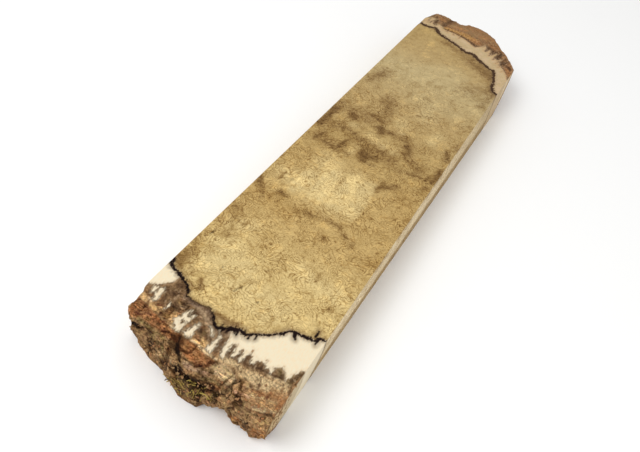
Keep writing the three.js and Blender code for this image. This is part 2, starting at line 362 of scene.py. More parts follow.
NEAR_WASHES = (
    Wash(Tone.STAIN, 0.95, 2.0, (
        (-26, -124, -20, -128, 3.4, 4.2), (-27.5, -128.5, -20, -131, 2.2, 3),
        (-20, -129, -8, -131, 3.8, 4), (-9, -129, 3, -133, 3.6, 2.6), (-12, -134, 2, -136, 3, 2.4),
        (3, -135, 20, -136.5, 2.4, 1.4), (20, -135, 29, -134.5, 1.6, 1.6),
    )),
    Wash(Tone.PURPLE_GREY, 0.8, 1.6, (
        (-17, -127.3, -9, -127.3, 1, 1.4), (-9, -127.5, -3, -131.2, 1.8, 1.7),
        (-3, -131, 4, -129.8, 1.5, 1), (-20, -126.5, -17, -127.5, 0.6, 1),
    )),
    Wash(Tone.STAIN_DARK, 0.8, 1.5, (
        (-24.5, -124, -23, -123, 1.4, 1), (-24.5, -128.3, -23, -127.4, 1.6, 1.2),
        (-28, -128.4, -27, -128, 1.2, 1), (-10, -131.8, -9, -130.5, 1.1, 0.7),
        (-6.5, -135.5, -5.5, -133.5, 1.4, 1.2), (-21, -131, -19, -132.6, 1, 1),
        (-13.5, -129.4, -12.3, -131, 0.8, 0.8), (-3, -135.8, -1, -136.5, 1, 0.8),
        (-25.5, -131, -25, -133, 0.8, 0.5), (-30, -131.8, -29.6, -133, 0.7, 0.6),
    )),
    Wash(Tone.PINK_GREY, 0.85, 0.9, (
        (-19.3, -127.6, -17.2, -128.4, 0.9, 0.7), (-18, -131.2, -16.8, -130.4, 0.7, 0.6),
        (-22.3, -128, -22.3, -130, 0.3, 0.2), (-5, -130.5, -2.5, -134.3, 0.5, 1),
        (-4, -133.4, -0.6, -132.6, 0.9, 0.8), (-12.4, -127.8, -10.2, -129.6, 0.5, 0.4),
        (1.8, -131.6, 3.6, -131, 0.9, 0.8), (-10.6, -127.4, -8, -128.8, 0.4, 0.5),
    )),
    Wash(Tone.STAIN_DARK, 0.9, 0.9, (
        (3, -134, 2.8, -138, 1.1, 1), (7.6, -133, 7.4, -137.8, 0.8, 1.1),
        (10.8, -133, 10.8, -137.4, 0.7, 1), (14.5, -132.6, 14.6, -136.6, 0.7, 1),
        (18, -134, 18, -136, 0.7, 1), (20.6, -131.6, 20.6, -135, 0.5, 0.9),
        (7, -138.3, 16, -136.9, 0.5, 0.5), (16, -136.7, 22, -135.2, 0.6, 0.6),
        (22, -135.2, 28.6, -134.4, 0.5, 0.6),
    )),
    Wash(Tone.KHAKI, 0.75, 1.2, ((25.5, -131, 28.4, -133.4, 1, 1.2), (34, -127, 31.4, -134.6, 0.6, 1.6))),
    Wash(Tone.UMBER, 0.75, 1.0, ((34, -127.6, 32, -133.6, 0.5, 1), (28, -132.6, 28.6, -134, 0.5, 0.7))),
    Wash(Tone.PHLOEM, 0.9, 1.5, (
        (5, -140, 16, -139.2, 1.2, 1.4), (17, -140, 35, -139, 2.4, 3.4), (17, -145, 35, -143.5, 3, 3.4),
    )),
    Wash(Tone.RED_BROWN, 0.9, 1.2, (
        (-34, -137.6, -26, -140.8, 2.2, 2.6), (-26, -141, -11, -141.8, 2.4, 1.8),
        (-34, -142, -29, -142.6, 1.6, 1), (-7.5, -143, 3, -143.8, 2.4, 2.6),
        (32.6, -141, 34.6, -145, 1.4, 1.8),
    )),
    Wash(Tone.RUST, 0.7, 1.0, (
        (-33, -140, -31, -143, 1, 0.8), (-23, -139.4, -20, -140.5, 0.9, 0.8),
        (-13.5, -142.4, -11.4, -142.6, 0.7, 0.6), (-5, -145.4, 2, -146, 0.9, 0.8),
        (-6.6, -142, -3, -141.8, 0.5, 0.4), (10, -150, 13, -149, 0.8, 0.6),
        (24.5, -142.6, 27, -143, 0.8, 0.6),
    )),
    Wash(Tone.MAROON, 0.8, 0.8, (
        (-29.6, -142, -27.4, -142.3, 0.7, 0.4), (-32.6, -136.8, -32, -136, 0.6, 0.5),
        (-19.4, -139.5, -18.8, -139, 0.6, 0.4), (-17.4, -142.2, -16.2, -141.8, 0.6, 0.4),
        (-26, -139.8, -25, -140.4, 0.4, 0.3), (1.5, -146.2, 3.4, -145.8, 0.5, 0.4),
        (5.2, -142.6, 5.2, -145, 0.35, 0.3), (-28.4, -137.4, -28.2, -138.6, 0.4, 0.4),
        (-22.6, -136.4, -22.2, -138.4, 0.5, 0.4), (-23.6, -134.2, -25.6, -134.6, 0.4, 0.5),
    )),
    Wash(Tone.OCHRE, 0.85, 0.7, (
        (-32.6, -134.4, -30.8, -135.8, 1, 0.9), (-28, -136.2, -25.6, -136.6, 1, 1.2),
        (-24.2, -135.2, -22.6, -135.3, 0.5, 0.6), (-21.2, -135.4, -17.2, -136, 1.3, 1.5),
        (-20.4, -137, -17, -137.4, 0.5, 0.5), (-7, -139, -1, -139.3, 0.7, 0.6),
        (-3.6, -137.6, -0.6, -138.4, 0.6, 0.5),
    )),
    Wash(Tone.PALE_OCHRE, 0.95, 0.7, (
        (-16, -139.1, -8, -139.8, 0.5, 0.5), (-8, -139.8, 0, -140.9, 0.5, 0.6),
        (0, -140.9, 4.6, -141, 0.6, 0.5), (-29.8, -134.2, -28.6, -134.8, 0.5, 0.5),
        (-31.6, -131, -31.2, -132.2, 0.5, 0.3),
    )),
    Wash(Tone.PHLOEM_PALE, 0.8, 1.0, (
        (6, -139.4, 14.6, -139, 0.9, 0.8), (20, -138, 25, -138.6, 0.6, 1),
        (25, -138.2, 32, -137, 1.1, 0.9), (24, -135.9, 33, -135.6, 0.5, 0.5),
        (15.6, -141.4, 20, -139.8, 0.5, 0.5), (20, -143.6, 27, -140.6, 0.4, 0.4),
        (22.5, -145.6, 32, -142.4, 0.4, 0.5),
    )),
    Wash(Tone.GREY_CREAM, 0.9, 1.3, (
        (7.6, -142.6, 13.2, -143.4, 1.8, 1.7), (8, -145, 12.6, -145.6, 1.6, 1.3),
    )),
    Wash(Tone.PHLOEM_PINK, 0.8, 0.8, (
        (26, -149, 30, -147.2, 0.4, 0.6), (30, -147.1, 34.6, -146.6, 0.6, 0.5),
        (-3, -148.4, 7, -147.6, 0.8, 0.8), (17.6, -147.2, 23, -146.4, 0.5, 0.5),
    )),
    Wash(Tone.UMBER, 0.8, 0.8, (
        (21, -142, 21.3, -142.6, 0.6, 0.4), (23.6, -141.4, 24, -143, 0.4, 0.3),
        (28.4, -141.6, 28.6, -142.6, 0.5, 0.4), (33.8, -137.2, 33.9, -138, 0.6, 0.6),
        (25, -150.2, 30, -148.4, 0.4, 0.6), (30, -148.3, 34.8, -148, 0.6, 0.4),
        (19.4, -148.4, 20.8, -149, 0.9, 0.8), (26, -155.8, 30, -156.2, 0.8, 1),
        (14, -146.6, 15.6, -148.6, 0.6, 0.5), (-30, -146.6, -24, -146.2, 0.7, 0.9),
        (-14.6, -147, -12.6, -147.6, 0.8, 0.5),
    )),
    Wash(Tone.KHAKI, 0.8, 0.9, (
        (-28, -143.9, -15, -144.4, 0.6, 0.6), (-19, -146, -13, -148.4, 1, 1.2),
        (5, -149.4, 14, -148.6, 0.5, 0.5), (30, -152, 33, -151.4, 1, 0.8),
    )),
    # Painted shade in the hollows of the torn bark, under the ledge and round the moss
    Wash(Tone.HOLLOW_SHADE, 0.9, 1.4, (
        (-4.5, -152.5, 5, -152.8, 0.7, 1.1), (5, -152.8, 13, -151.8, 0.9, 0.7),
        (8.2, -156.4, 9, -156.8, 1.2, 1), (-9, -151, -5, -152.2, 0.4, 0.6),
        (4, -154.8, 5.6, -155.6, 0.6, 0.5),
    )),
    Wash(Tone.BARK_ORANGE, 0.85, 0.9, (
        (31.4, -155.4, 33.8, -154.6, 1, 1), (22.8, -156.4, 25, -156.4, 0.8, 0.7),
        (3.4, -158.8, 7.4, -159.4, 0.5, 0.5), (-2.4, -157.4, -0.4, -158, 0.4, 0.4),
        (11, -158.4, 11.8, -156.8, 0.4, 0.4), (-32, -143.4, -30.4, -144, 0.5, 0.4),
    )),
    # Painted shade under the moss strands
    Wash(Tone.MOSS_ROOT_AND_SHADE, 0.7, 2.4, ((-2, -154.6, 4, -156, 1.4, 2.4), (4, -155.5, 13, -154.4, 2.6, 1.6))),
    Wash(Tone.PINK_GREY, 0.75, 1.8, (
        (-11, -128.4, -4, -131, 1.8, 1.6), (-1, -134.4, 1, -135.6, 0.6, 0.6),
    )),
    Wash(Tone.PHLOEM_PALE, 0.6, 2.4, (
        (17, -139.8, 26, -139.4, 2, 2), (6.4, -139.5, 14, -139.5, 1, 1.4),
        (8, -143.6, 13, -144.4, 2.4, 2.4),
    )),
    Wash(Tone.BARK_ORANGE, 0.6, 1.6, (
        (-6, -143, 0.6, -144.4, 1.6, 1.8), (29, -141.6, 34, -140.6, 1.6, 2),
        (31.6, -156, 33.4, -155.6, 1.2, 1.2),
    )),
    Wash(Tone.PHLOEM, 0.5, 2.0, (
        (29.6, -152.8, 32.4, -152.2, 1.4, 1.4), (10.5, -157.4, 14.5, -156.4, 1.2, 1.2),
    )),
    Wash(Tone.OCHRE, 0.5, 1.6, ((-21, -135.4, -17, -136.4, 1.4, 1.4),)),
    Wash(Tone.PHLOEM_PALE, 0.6, 2.0, (
        (19, -138.8, 25, -139.8, 1.8, 2.2), (-12, -150.6, -8, -151.4, 1, 1),
    )),
    # Painted shade under the moss along the lower edge
    Wash(Tone.MOSS_ROOT_AND_SHADE, 0.6, 1.6, ((1, -157.8, 7, -160, 1, 1.2), (8, -159, 13, -157.2, 1, 1))),
    # Painted shade in a crack of the bark
    Wash(Tone.HOLLOW_SHADE, 0.85, 0.8, (
        (15.2, -143.4, 14.9, -146.4, 0.5, 0.7), (14.9, -146.4, 17.3, -147.8, 0.6, 0.5),
    )),
    Wash(Tone.UMBER, 0.6, 1.6, (
        (-21, -147.4, -15.6, -148.8, 1.2, 1.6), (-11, -152.6, -6.6, -154.2, 1, 1.2),
        (-22, -140.6, -19.4, -141.6, 0.8, 0.8), (-28, -146.4, -24, -147.2, 0.8, 0.8),
        (29, -150.3, 33.6, -147.5, 0.6, 0.7),
    )),
    # Painted shade in the hollows below the ledge and in the moss
    Wash(Tone.HOLLOW_SHADE, 0.8, 1.2, (
        (-3.4, -152.4, 2.8, -153.6, 0.9, 1), (3, -152.3, 8, -152.6, 1.1, 0.8),
        (24.9, -155.7, 28, -155.1, 0.7, 0.6), (2, -157.6, 4, -158.2, 0.7, 0.6),
    )),
    Wash(Tone.MAROON, 0.8, 0.6, (
        (23.4, -140.6, 23.8, -141.4, 0.5, 0.4), (22.5, -143.2, 22.9, -144, 0.5, 0.4),
        (28.2, -142.4, 28.5, -143.4, 0.5, 0.4),
    )),
    Wash(Tone.PHLOEM_PALE, 0.85, 0.6, (
        (26.8, -149.1, 30, -147.8, 0.4, 0.4), (30, -147.8, 33.4, -146, 0.4, 0.5),
    )),
)

NEAR_END = BarkEnd(
    outward=-1,
    top=(
        (-37, -140), (-34, -141.5), (-31, -143.4), (-27, -144.3), (-21, -144.8), (-16, -145.2),
        (-12, -147.4), (-8, -149.4), (0, -150.8), (6, -151), (12, -150.2), (18, -149.2), (24, -149.8),
        (30, -150.4), (37, -149.4),
    ),
    bottom=(
        (-37, -138.2), (-30, -140.6), (-18.7, -145), (-7.5, -149.2), (-2, -150.6), (4.6, -150.9),
        (6.3, -148.1), (10.5, -146.3), (11.7, -144.7), (13.4, -143), (15.3, -143.9), (17.4, -146.6),
        (18.6, -147.6), (21.3, -147.7), (24, -146.5), (25.4, -147.3), (27.2, -148.3), (30.3, -146.4),
        (31.5, -145.4), (37, -128),
    ),
    knee=(0.1, 0.52),
    belly=(0.7, 1.6),
    thickness=14,
    torn=1,
    lean=(0.6, -0.68),
    line=Trace((
        (-38, -113.5), (-34.8, -114.7), (-33.5, -117), (-32, -117.6), (-30, -118.5), (-28.5, -119),
        (-27, -119.6), (-25, -120.5), (-23.5, -121), (-22, -122), (-21, -123.2), (-20, -124.6),
        (-19.3, -125.8), (-17.5, -126.4), (-15, -126.4), (-13, -126), (-11, -125.5), (-9.8, -125.1),
        (-8.5, -125.6), (-7, -126.6), (-5.5, -127.8), (-4, -129), (-2.5, -130), (-1, -130.3), (1, -129.3),
        (2.5, -127.8), (4, -128.5), (5.5, -127), (6.5, -127.3), (8.5, -127.5), (10, -125.7), (12, -124.3),
        (14, -122.8), (15.5, -121.6), (17, -119.8), (19, -118), (20.5, -115.5), (24, -115.3), (27, -115),
        (29, -114), (31, -113.3), (32.5, -112), (34.3, -111), (38, -110),
    )),
    line_width=(
        (-36, 0.9), (-30, 0.75), (-22, 0.7), (-18, 0.12), (-9, 0.1), (-4, 0.5), (2, 0.75), (8, 0.7),
        (12, 0.45), (20, 0.55), (24, 0.6), (31, 0.65), (34, 0.4), (38, 0.3),
    ),
    limit=Trace((
        (-38, -129.6), (-34, -129.4), (-33, -128.8), (-31, -127.4), (-29.4, -125.4), (-27.6, -123),
        (-27, -120.6), (-26, -116), (1.6, -124), (3.6, -130.4), (5, -132.6), (8, -132.8), (12, -133.2),
        (16, -133), (20, -132.6), (23, -133.4), (25, -131.4), (27, -130.2), (28.6, -132), (29.8, -134.8),
        (31, -131.8), (33, -127.6), (34.5, -126.8), (38, -126),
    )),
    tongues=(
        (-28.6, -129.4, -28.4, -133.6, 1, 0.8), (-31.2, -129.8, -30.8, -131.4, 1, 0.6),
        (-13.8, -130.2, -15.8, -136.6, 0.4, 1.4), (-11.6, -131.6, -13.8, -138.2, 0.6, 1.4),
        (-14.6, -133.2, -13.4, -134, 1, 0.9), (-15.2, -136.8, -13.4, -138, 1, 1.2),
        (-7.8, -132.8, -8.6, -138.6, 0.4, 1.3), (-22.5, -132, -22.6, -134.8, 0.4, 0.4),
        (1.6, -133, 1, -139.2, 0.5, 1.2), (0, -130.6, 0.8, -132, 0.4, 0.5),
        (5.6, -131, 6.2, -138.6, 1.2, 1.1), (-9.4, -136.6, -10.4, -138, 0.5, 0.6),
        (-3.6, -131.4, -1.2, -134, 0.5, 0.6), (2.6, -137, 4.4, -137.8, 0.4, 0.4),
        (9.6, -133, 9.4, -136.6, 1.1, 0.9), (12.8, -132.5, 12.8, -136.6, 1.1, 0.7),
        (16.8, -131, 16.8, -135, 1.3, 0.7), (24, -133, 24.3, -134.6, 1, 0.4),
        (22, -133, 22.2, -134, 0.8, 0.4),
    ),
    teeth=(
        (-14.3, -135.4, -13.6, -135.1, 0.7, 0.6), (8.1, -131.8, 7.8, -138, 0.2, 1),
        (11, -133.2, 11, -138, 0.2, 0.9), (14.7, -130.8, 14.6, -137, 0.2, 0.9),
        (18.7, -133.2, 18.2, -136, 0.2, 0.8), (20.6, -131, 20.6, -135, 0.15, 0.6),
        (3.6, -132.6, 3.6, -138.6, 0.3, 1), (-11, -134.2, -10.6, -138, 0.3, 0.8),
        (27, -130.4, 27.2, -134, 0.3, 1.2), (33.8, -127, 32, -134, 0.4, 1.4),
        (3, -134.4, 2.8, -139, 0.5, 1),
    ),
    washes=NEAR_WASHES,
    spurs=(
        (1, -129.4, 0.6, -131.6, 0.5, 0.2), (2.6, -128.4, 2.4, -130.6, 0.5, 0.2),
        (5.6, -127.4, 5.8, -129.6, 0.5, 0.2), (9.6, -126.4, 9.8, -128.4, 0.4, 0.2),
        (11.6, -124.8, 12, -127, 0.4, 0.2), (23, -115.4, 24, -118.2, 0.8, 0.4),
        (30, -109.6, 30, -112, 0.3, 0.5), (31.4, -113.4, 31.6, -115.4, 0.5, 0.2),
        (3.6, -126.4, 4, -128, 0.2, 0.4), (-0.6, -128, -0.4, -129.6, 0.2, 0.4),
        (7.4, -125.6, 7.6, -127, 0.2, 0.4),
    ),
    cracks=(
        *trail(0.42, (-29, -146.3), (-25, -146), (-23.5, -145), (-20, -145.3)),
        *trail(0.25, (-15, -145), (-13, -147)),
        *trail(0.28, (-18.5, -147.5), (-17.2, -149.6), (-15.3, -151.5)),
        *trail(0.5, (-10.5, -141), (-9.5, -143), (-8, -146), (-6.5, -147.5), (-5, -149)),
        *trail(0.2, (-5, -147), (-1, -146.9), (3, -146)),
        *trail(0.35, (17, -142.5), (15, -144.8), (15.5, -146), (17, -148), (16.5, -151)),
        *trail(0.2, (-34, -139), (-31.6, -140.6), (-28, -140.4)),
        *trail(0.18, (-28.5, -135.2), (-28.8, -138.4)),
        *trail(0.18, (20, -151.4), (26, -151), (31, -149.6)),
        *trail(0.5, (-28, -147.4), (-25.3, -146.8)),
        *trail(0.4, (-17.6, -148.6), (-15.5, -150.3), (-13, -151)),
        *trail(0.7, (-9.8, -143.4), (-7.6, -146.4)),
        *trail(0.5, (-5, -150.6), (-0.1, -150.8), (5.5, -150.7), (10.7, -150.2), (14.6, -150)),
        *trail(0.25, (-1.2, -147.6), (2.9, -146.2)),
    ),
    hollows=(
        (-4.5, -152.3, 5, -152.6, 0.8, 1.2), (5, -152.6, 13, -151.6, 1, 0.8),
        (-28.6, -146.8, -25, -146.4, 0.5, 0.7), (8, -156.2, 9, -156.6, 1, 0.9),
    ),
)

FAR_WASHES = (
    Wash(Tone.OLIVE_CREAM, 0.9, 3.0, ((-38, 156, -25, 156, 4, 4), (-37, 162, -32, 165, 2, 3))),
    Wash(Tone.STAIN, 0.6, 2.0, (
        (-36, 156, -33, 160, 0.8, 1), (-30, 155, -29, 160, 0.5, 0.6), (30, 152, 24, 154, 3, 3),
    )),
    Wash(Tone.BARK_BROWN, 0.85, 3.0, (
        (-30, 174, 0, 177, 4, 4), (0, 177, 14, 168, 4, 4), (14, 168, 32, 146, 4, 3),
    )),
    Wash(Tone.STAIN, 0.6, 4.0, (
        (-28, 170, -14, 172, 4, 4), (-6, 170, 8, 171, 3, 3), (8, 170, 14, 160, 2, 3),
    )),
    Wash(Tone.STAIN_DARK, 0.5, 3.0, (
        (14, 158, 24, 150, 2.4, 2), (24, 150, 31, 141, 2, 1.4), (-22, 166, -19, 174, 1.4, 1.6),
    )),
    Wash(Tone.STAIN, 0.8, 2.0, (
        (-28.6, 158, -28, 166, 1, 1.6), (-24, 158, -24, 166, 0.8, 1.6), (-34.4, 168, -33.6, 173, 1, 1.6),
        (-31.6, 158, -31, 166, 0.8, 1.2),
    )),
    Wash(Tone.STAIN_DARK, 0.9, 1.6, (
        (11.8, 150, 12.8, 157, 1, 1.6), (15.3, 146.6, 17.4, 156, 1.2, 1.8),
        (19.6, 144, 21.9, 156, 1.2, 2), (24.4, 140, 27, 147, 1, 1.6),
        (-27.6, 156, -27.2, 158.6, 0.6, 0.8), (-35.6, 158, -35, 163, 0.6, 0.8),
        (-29.1, 158, -29.1, 166, 1, 1.4), (-23, 159.4, -22.4, 164, 1, 1.4),
        (-31.7, 158.2, -31.5, 160.6, 1, 1.1), (-18.8, 156, -18.2, 159, 0.8, 1),
    )),
    Wash(Tone.GOLD, 0.85, 3.0, ((-19, 159.6, -4, 160.6, 2.6, 3), (-4, 160, 2, 159, 3, 2))),
    Wash(Tone.STAIN, 0.55, 4.0, (
        (-8, 165.5, 2, 164.5, 2, 2), (5, 161, 10, 160.6, 1.6, 1.6), (-16, 173, -12, 172, 2, 2),
        (2, 175, 8, 173, 2, 2),
    )),
    Wash(Tone.STAIN_DARK, 0.5, 3.0, ((15, 163, 22, 156, 1.2, 1.2), (-27, 173, -23, 172, 1.4, 1.2))),
    Wash(Tone.BARK_ORANGE, 0.55, 3.0, (
        (1, 158.6, 5, 156.6, 2.6, 2), (4, 168, 8, 171, 2, 2), (13, 162, 17, 161, 2, 2),
        (31, 139, 34, 134, 2, 3), (-28, 171, -26, 170, 2, 1.6), (-14, 168, -8, 169, 1.6, 1.6),
    )),
    Wash(Tone.UMBER, 0.8, 1.6, (
        (-23, 168, -21, 175, 1, 1.6), (-20.6, 157.7, -12, 158.1, 0.8, 0.8),
        (-12, 158.1, -4, 156, 0.8, 0.9), (-4, 156, 1, 153.8, 0.9, 1), (1, 153.6, 6, 151.8, 1, 1.2),
        (21.4, 148, 23, 145, 1.4, 1.2), (22, 147.5, 27, 140, 0.9, 0.6), (27, 140, 32, 133, 0.6, 0.4),
        (31, 143.4, 33, 141, 1, 1), (20, 153, 21, 155, 1, 1.4), (26, 153, 29, 149, 0.8, 0.8),
        (-33.8, 160.4, -33.2, 162.4, 0.6, 0.5), (-31.8, 169, -31, 170.6, 0.8, 0.6),
        (-24, 155.6, -23.4, 157, 0.5, 0.5),
    )),
)

FAR_END = BarkEnd(
    outward=1,
    top=(
        (-39, 156), (-37.6, 163.2), (-36, 168.8), (-34.2, 176), (-31, 177.8), (-21, 176.3), (-15, 174.8),
        (-10.8, 176), (-9.6, 179.2), (-2, 180.1), (5.5, 178.2), (11.7, 174.2), (20.2, 163.3),
        (26.1, 157.2), (30.5, 150.8), (35.1, 143.4), (39, 137),
    ),
    bottom=(
        (-39, 148), (-34, 158), (-24, 164.5), (-10, 166.5), (0, 164.5), (10, 157.5), (20, 145),
        (30, 128.5), (36.6, 116), (39, 111),
    ),
    knee=(0, 0),
    belly=(2, 4.5),
    thickness=15,
    torn=0.5,
    lean=(0.4, 0.4),
    line=Trace((
        (-39, 152), (-37, 152), (-34, 151.5), (-30, 151.5), (-27, 153), (-24.5, 152), (-22, 149),
        (-20, 147.5), (-15, 146), (-10, 144), (-5, 142), (0, 139.5), (2, 138.7), (5, 139.3), (7.5, 139.2),
        (9, 138), (12, 136), (15, 134), (18, 132.8), (20, 131), (22, 130), (24, 130.5), (25.5, 128),
        (27, 122.5), (28.4, 117.5), (28.6, 113), (30, 109.5), (32, 105.5), (34.5, 103.8), (39, 101),
    )),
    line_width=(
        (-37, 1.5), (-30, 1.3), (-20, 1.4), (0, 1.3), (5, 1.5), (7.5, 1.9), (10, 1.3), (20, 1.2),
        (34, 0.9),
    ),
    limit=Trace((
        (-39, 163), (-37, 163), (-35.4, 164), (-34.4, 169), (-33, 163), (-32, 158.4), (-30.6, 162),
        (-29.6, 157.6), (-28.4, 155.6), (-26.8, 159), (-25.2, 160), (-24, 156.4), (-22, 157.4),
        (-20, 156.5), (-12, 156.8), (-8, 156), (-4, 154.5), (0, 152.8), (3, 150.8), (5, 150), (7, 152.5),
        (8.5, 155), (10.5, 158), (11.4, 155), (12.3, 149.5), (13.4, 153), (14.5, 149.5), (16, 151.6),
        (17, 147.6), (18.4, 151), (19.6, 146), (20.6, 147), (22, 145.4), (24.4, 142.6), (27, 139.2),
        (29, 136.4), (32, 132.5), (35, 127.5), (39, 121),
    )),
    tongues=(
        (13.6, 149, 14.4, 155, 0.9, 0.4), (18, 147, 19.4, 154.6, 1, 0.4),
        (22.4, 142.6, 24, 148.4, 0.9, 0.4), (-34, 157, -32.2, 166.4, 1.2, 0.9),
        (-24, 156, -23.8, 158.6, 0.8, 0.6),
    ),
    teeth=(
        (-29.1, 158, -29.1, 166, 0.7, 1.4), (-23, 159.4, -22.4, 164, 0.7, 1.3),
        (-31.7, 158.2, -31.5, 160.6, 0.9, 1), (-27.6, 155.8, -27, 158.4, 0.4, 0.7),
        (-18.8, 156, -18.2, 159, 0.7, 1), (11.8, 150.4, 12.8, 157, 0.6, 1.2),
        (15.4, 147, 17, 156, 0.6, 1.1), (20.2, 144.4, 21.9, 156, 0.7, 1.4),
        (25, 140.6, 27, 147, 0.5, 1.2), (9.4, 153.6, 9.6, 158, 0.2, 0.6),
        (-35.4, 158.6, -34.4, 165, 0.4, 0.9), (-33, 156.6, -32.8, 158, 0.5, 0.4),
        (-37.4, 156, -37, 158, 0.4, 0.4), (-21.6, 154.6, -21.4, 158, 0.2, 0.5),
        (-17.4, 153.8, -17.6, 158, 0.1, 0.4), (22.6, 140.6, 23.6, 144.6, 0.2, 0.6),
        (25.6, 136.8, 27, 141, 0.2, 0.6), (19.8, 143.2, 20.2, 147, 0.2, 0.5),
        (-13, 153.6, -13.4, 157.4, 0.2, 0.7), (-8.6, 152.4, -8.4, 156.4, 0.2, 0.7),
        (-34.6, 155.6, -34, 160, 0.3, 0.8), (29, 132.4, 30.6, 137, 0.2, 0.6),
    ),
    washes=FAR_WASHES,
    spurs=(),
    cracks=(*trail(0.25, (20, 160), (22, 154), (24, 151)),),
    hollows=(),
)

# The figure of the sawn heartwood: broad patches only, for the finish adds every finer mark
BOARD_WASHES = (
    Wash(Tone.PALE_FIGURE, 0.5, 12, (
        (-14, -22, -8, -40, 7, 11), (-30, -42, 2, -45, 5, 8), (0, -24, 4, -40, 6, 8),
    )),
    Wash(Tone.PALE_FIGURE, 0.5, 1.6, (
        (9.5, -23, 10.5, -46, 3.4, 3.8), (2, -24, 2, -46, 4, 4), (-8, -28, -8, -46, 4, 4),
        (-18, -36, -18, -46, 3, 4),
    )),
    Wash(Tone.AMBER_FIGURE, 0.35, 7, ((22, -14, 33, -30, 5, 6), (28, -34, 34, -42, 3, 2))),
    Wash(Tone.AMBER_FIGURE, 0.6, 7, (
        (-30, -60, -12, -64, 3, 3), (-34, -74, -33, -112, 2, 3), (28, -4, 34, -8, 3, 3),
        (30, -70, 35, -60, 2, 3),
    )),
    Wash(Tone.BROWN_FIGURE, 0.4, 8, ((-32, -74, -26, -90, 4, 3), (-32, -108, -26, -116, 3, 2))),
    Wash(Tone.BROWN_FIGURE, 0.3, 14, ((18, 94, 32, 108, 7, 7), (8, 128, 26, 122, 5, 6))),
    Wash(Tone.BROWN_FIGURE, 0.5, 8, (
        (-34, 4, -24, 10, 4, 4), (-24, 24, -10, 30, 6, 5), (-14, 50, -10, 38, 4, 3),
        (-32, 62, -28, 76, 3, 4), (31, 84, 34, 110, 2, 3), (-12, 6, 8, 2, 5, 5), (12, 12, 24, 4, 3, 3),
        (8, 132, 24, 122, 4, 6), (-14, 140, 4, 134, 3, 3), (-33, 28, -33, 20, 3, 3),
        (2, 26, 12, 18, 3, 3), (-30, -4, -20, -7, 3, 3),
    )),
    Wash(Tone.DARK_FIGURE, 0.6, 4, (
        (-34.5, 5, -34, 22, 1.6, 2), (12.5, 17, 15, 12, 1.6, 1.4), (14, -3, 33, 0, 0.6, 1.2),
        (30, 28, 33, 22, 1, 1.4), (33, 12, 33, 4, 1.4, 1.6), (31, -7, 32, -6, 1, 1),
        (20, -14.5, 15, -19, 1.4, 1.8), (14, -17, 13, -24, 1.2, 1), (34, 35, 34, 36, 0.8, 0.8),
        (-16, 0, -16.5, -6, 0.8, 1.2), (-29, -9, 5, -9.6, 0.4, 0.6), (-28, -2, -30, -9, 1, 1),
        (-35, -52, -31, -57, 1.6, 1.4), (-22, -55, -19, -55, 1.2, 0.8), (-29, -60.5, -27, -61.5, 1, 0.8),
        (-10, -60, 3, -56.3, 0.6, 1), (3, -56.3, 10, -57, 1, 0.9), (10, -57, 20, -63, 0.9, 0.6),
        (4, 5, 1, 3, 0.8, 0.8), (30, 2, 33, 1, 1, 1.2), (-24, 24, -22, 20, 1, 1),
        (-16, -5, -13, -8, 0.6, 0.5), (-22, 8, -14, 9, 0.8, 0.8),
    )),
    Wash(Tone.PURPLE_SPOT, 0.75, 5, (
        (-7, 22, -5, 20, 2, 2.5), (-4, -4, -2, -7, 2.2, 1.8), (-6, -1, -4, -3, 0.8, 1),
        (-1, -4, 3, -3, 1, 0.4), (-3, 21, 1, 22.4, 0.8, 0.3),
    )),
    Wash(Tone.GREY_HEART, 0.6, 10, (
        (-20, 84, 4, 104, 9, 10), (6, 60, 10, 50, 5, 5), (-4, 66, 20, 64, 4, 4),
    )),
    Wash(Tone.PALE_FIGURE, 0.45, 6, (
        (0, 36, 4, 28, 3, 3), (-8, 12, 2, 10, 2.6, 2.6), (22, 38, 20, 30, 3, 3), (-20, 14, -18, 16, 2, 2),
        (6, 10, 8, 8, 2, 2), (-9, -2, -10, -6, 1.2, 1.2), (-20, -104, 10, -112, 8, 8),
        (-28, -84, -20, -80, 3, 3), (10, -88, 28, -92, 4, 4), (-24, -96, -10, -100, 5, 5),
    )),
    Wash(Tone.TAN_HEART, 0.35, 6, (
        (-2, -88, 0, -102, 3, 4), (-12, -92, -10, -84, 3, 3), (0, -70, 14, -66, 4, 4),
    )),
    Wash(Tone.BROWN_FIGURE, 0.7, 3, (
        (-19.5, -117, -17.5, -120, 1.2, 1.2), (-22, -119.6, -19, -121, 0.8, 0.6),
        (-5, -126.4, 4, -125.6, 1, 1.2), (16, -86, 17, -89, 0.7, 0.5), (5, -66, 9, -68, 0.8, 0.8),
        (-33, -112, -30, -116, 1.4, 1), (27, -98, 29, -99, 0.5, 0.5), (-29, -42, -28, -46, 0.6, 0.6),
    )),
    Wash(Tone.PURPLE_GREY, 0.5, 2, ((-19, -117.6, -18, -119, 0.8, 0.8), (-3, -127, 3, -126.6, 0.8, 0.8))),
)

# The small checks and knots of the sawn face, painted in the dark tone of shade in a hollow
BOARD_CHECKS = Wash(Tone.HOLLOW_SHADE, 0.85, 0.8, (
    (-23.2, -44.2, -22.8, -44, 0.3, 0.3), (-31.2, -93.8, -30.8, -93.4, 0.4, 0.4),
    (3.2, -112.8, 3.4, -112.6, 0.3, 0.3), (-5.8, -109.8, -6.2, -111, 0.3, 0.2),
    (-6.4, -111.6, -7, -113.4, 0.15, 0.25), (-17.8, -105.6, -17.2, -107, 0.1, 0.2),
))

# The hollow at the near end where the moss grows
MOSS_PATCH = ((-1, -155.8, 4, -156, 1.8, 3), (4, -155.6, 13, -154.4, 3, 1.8))

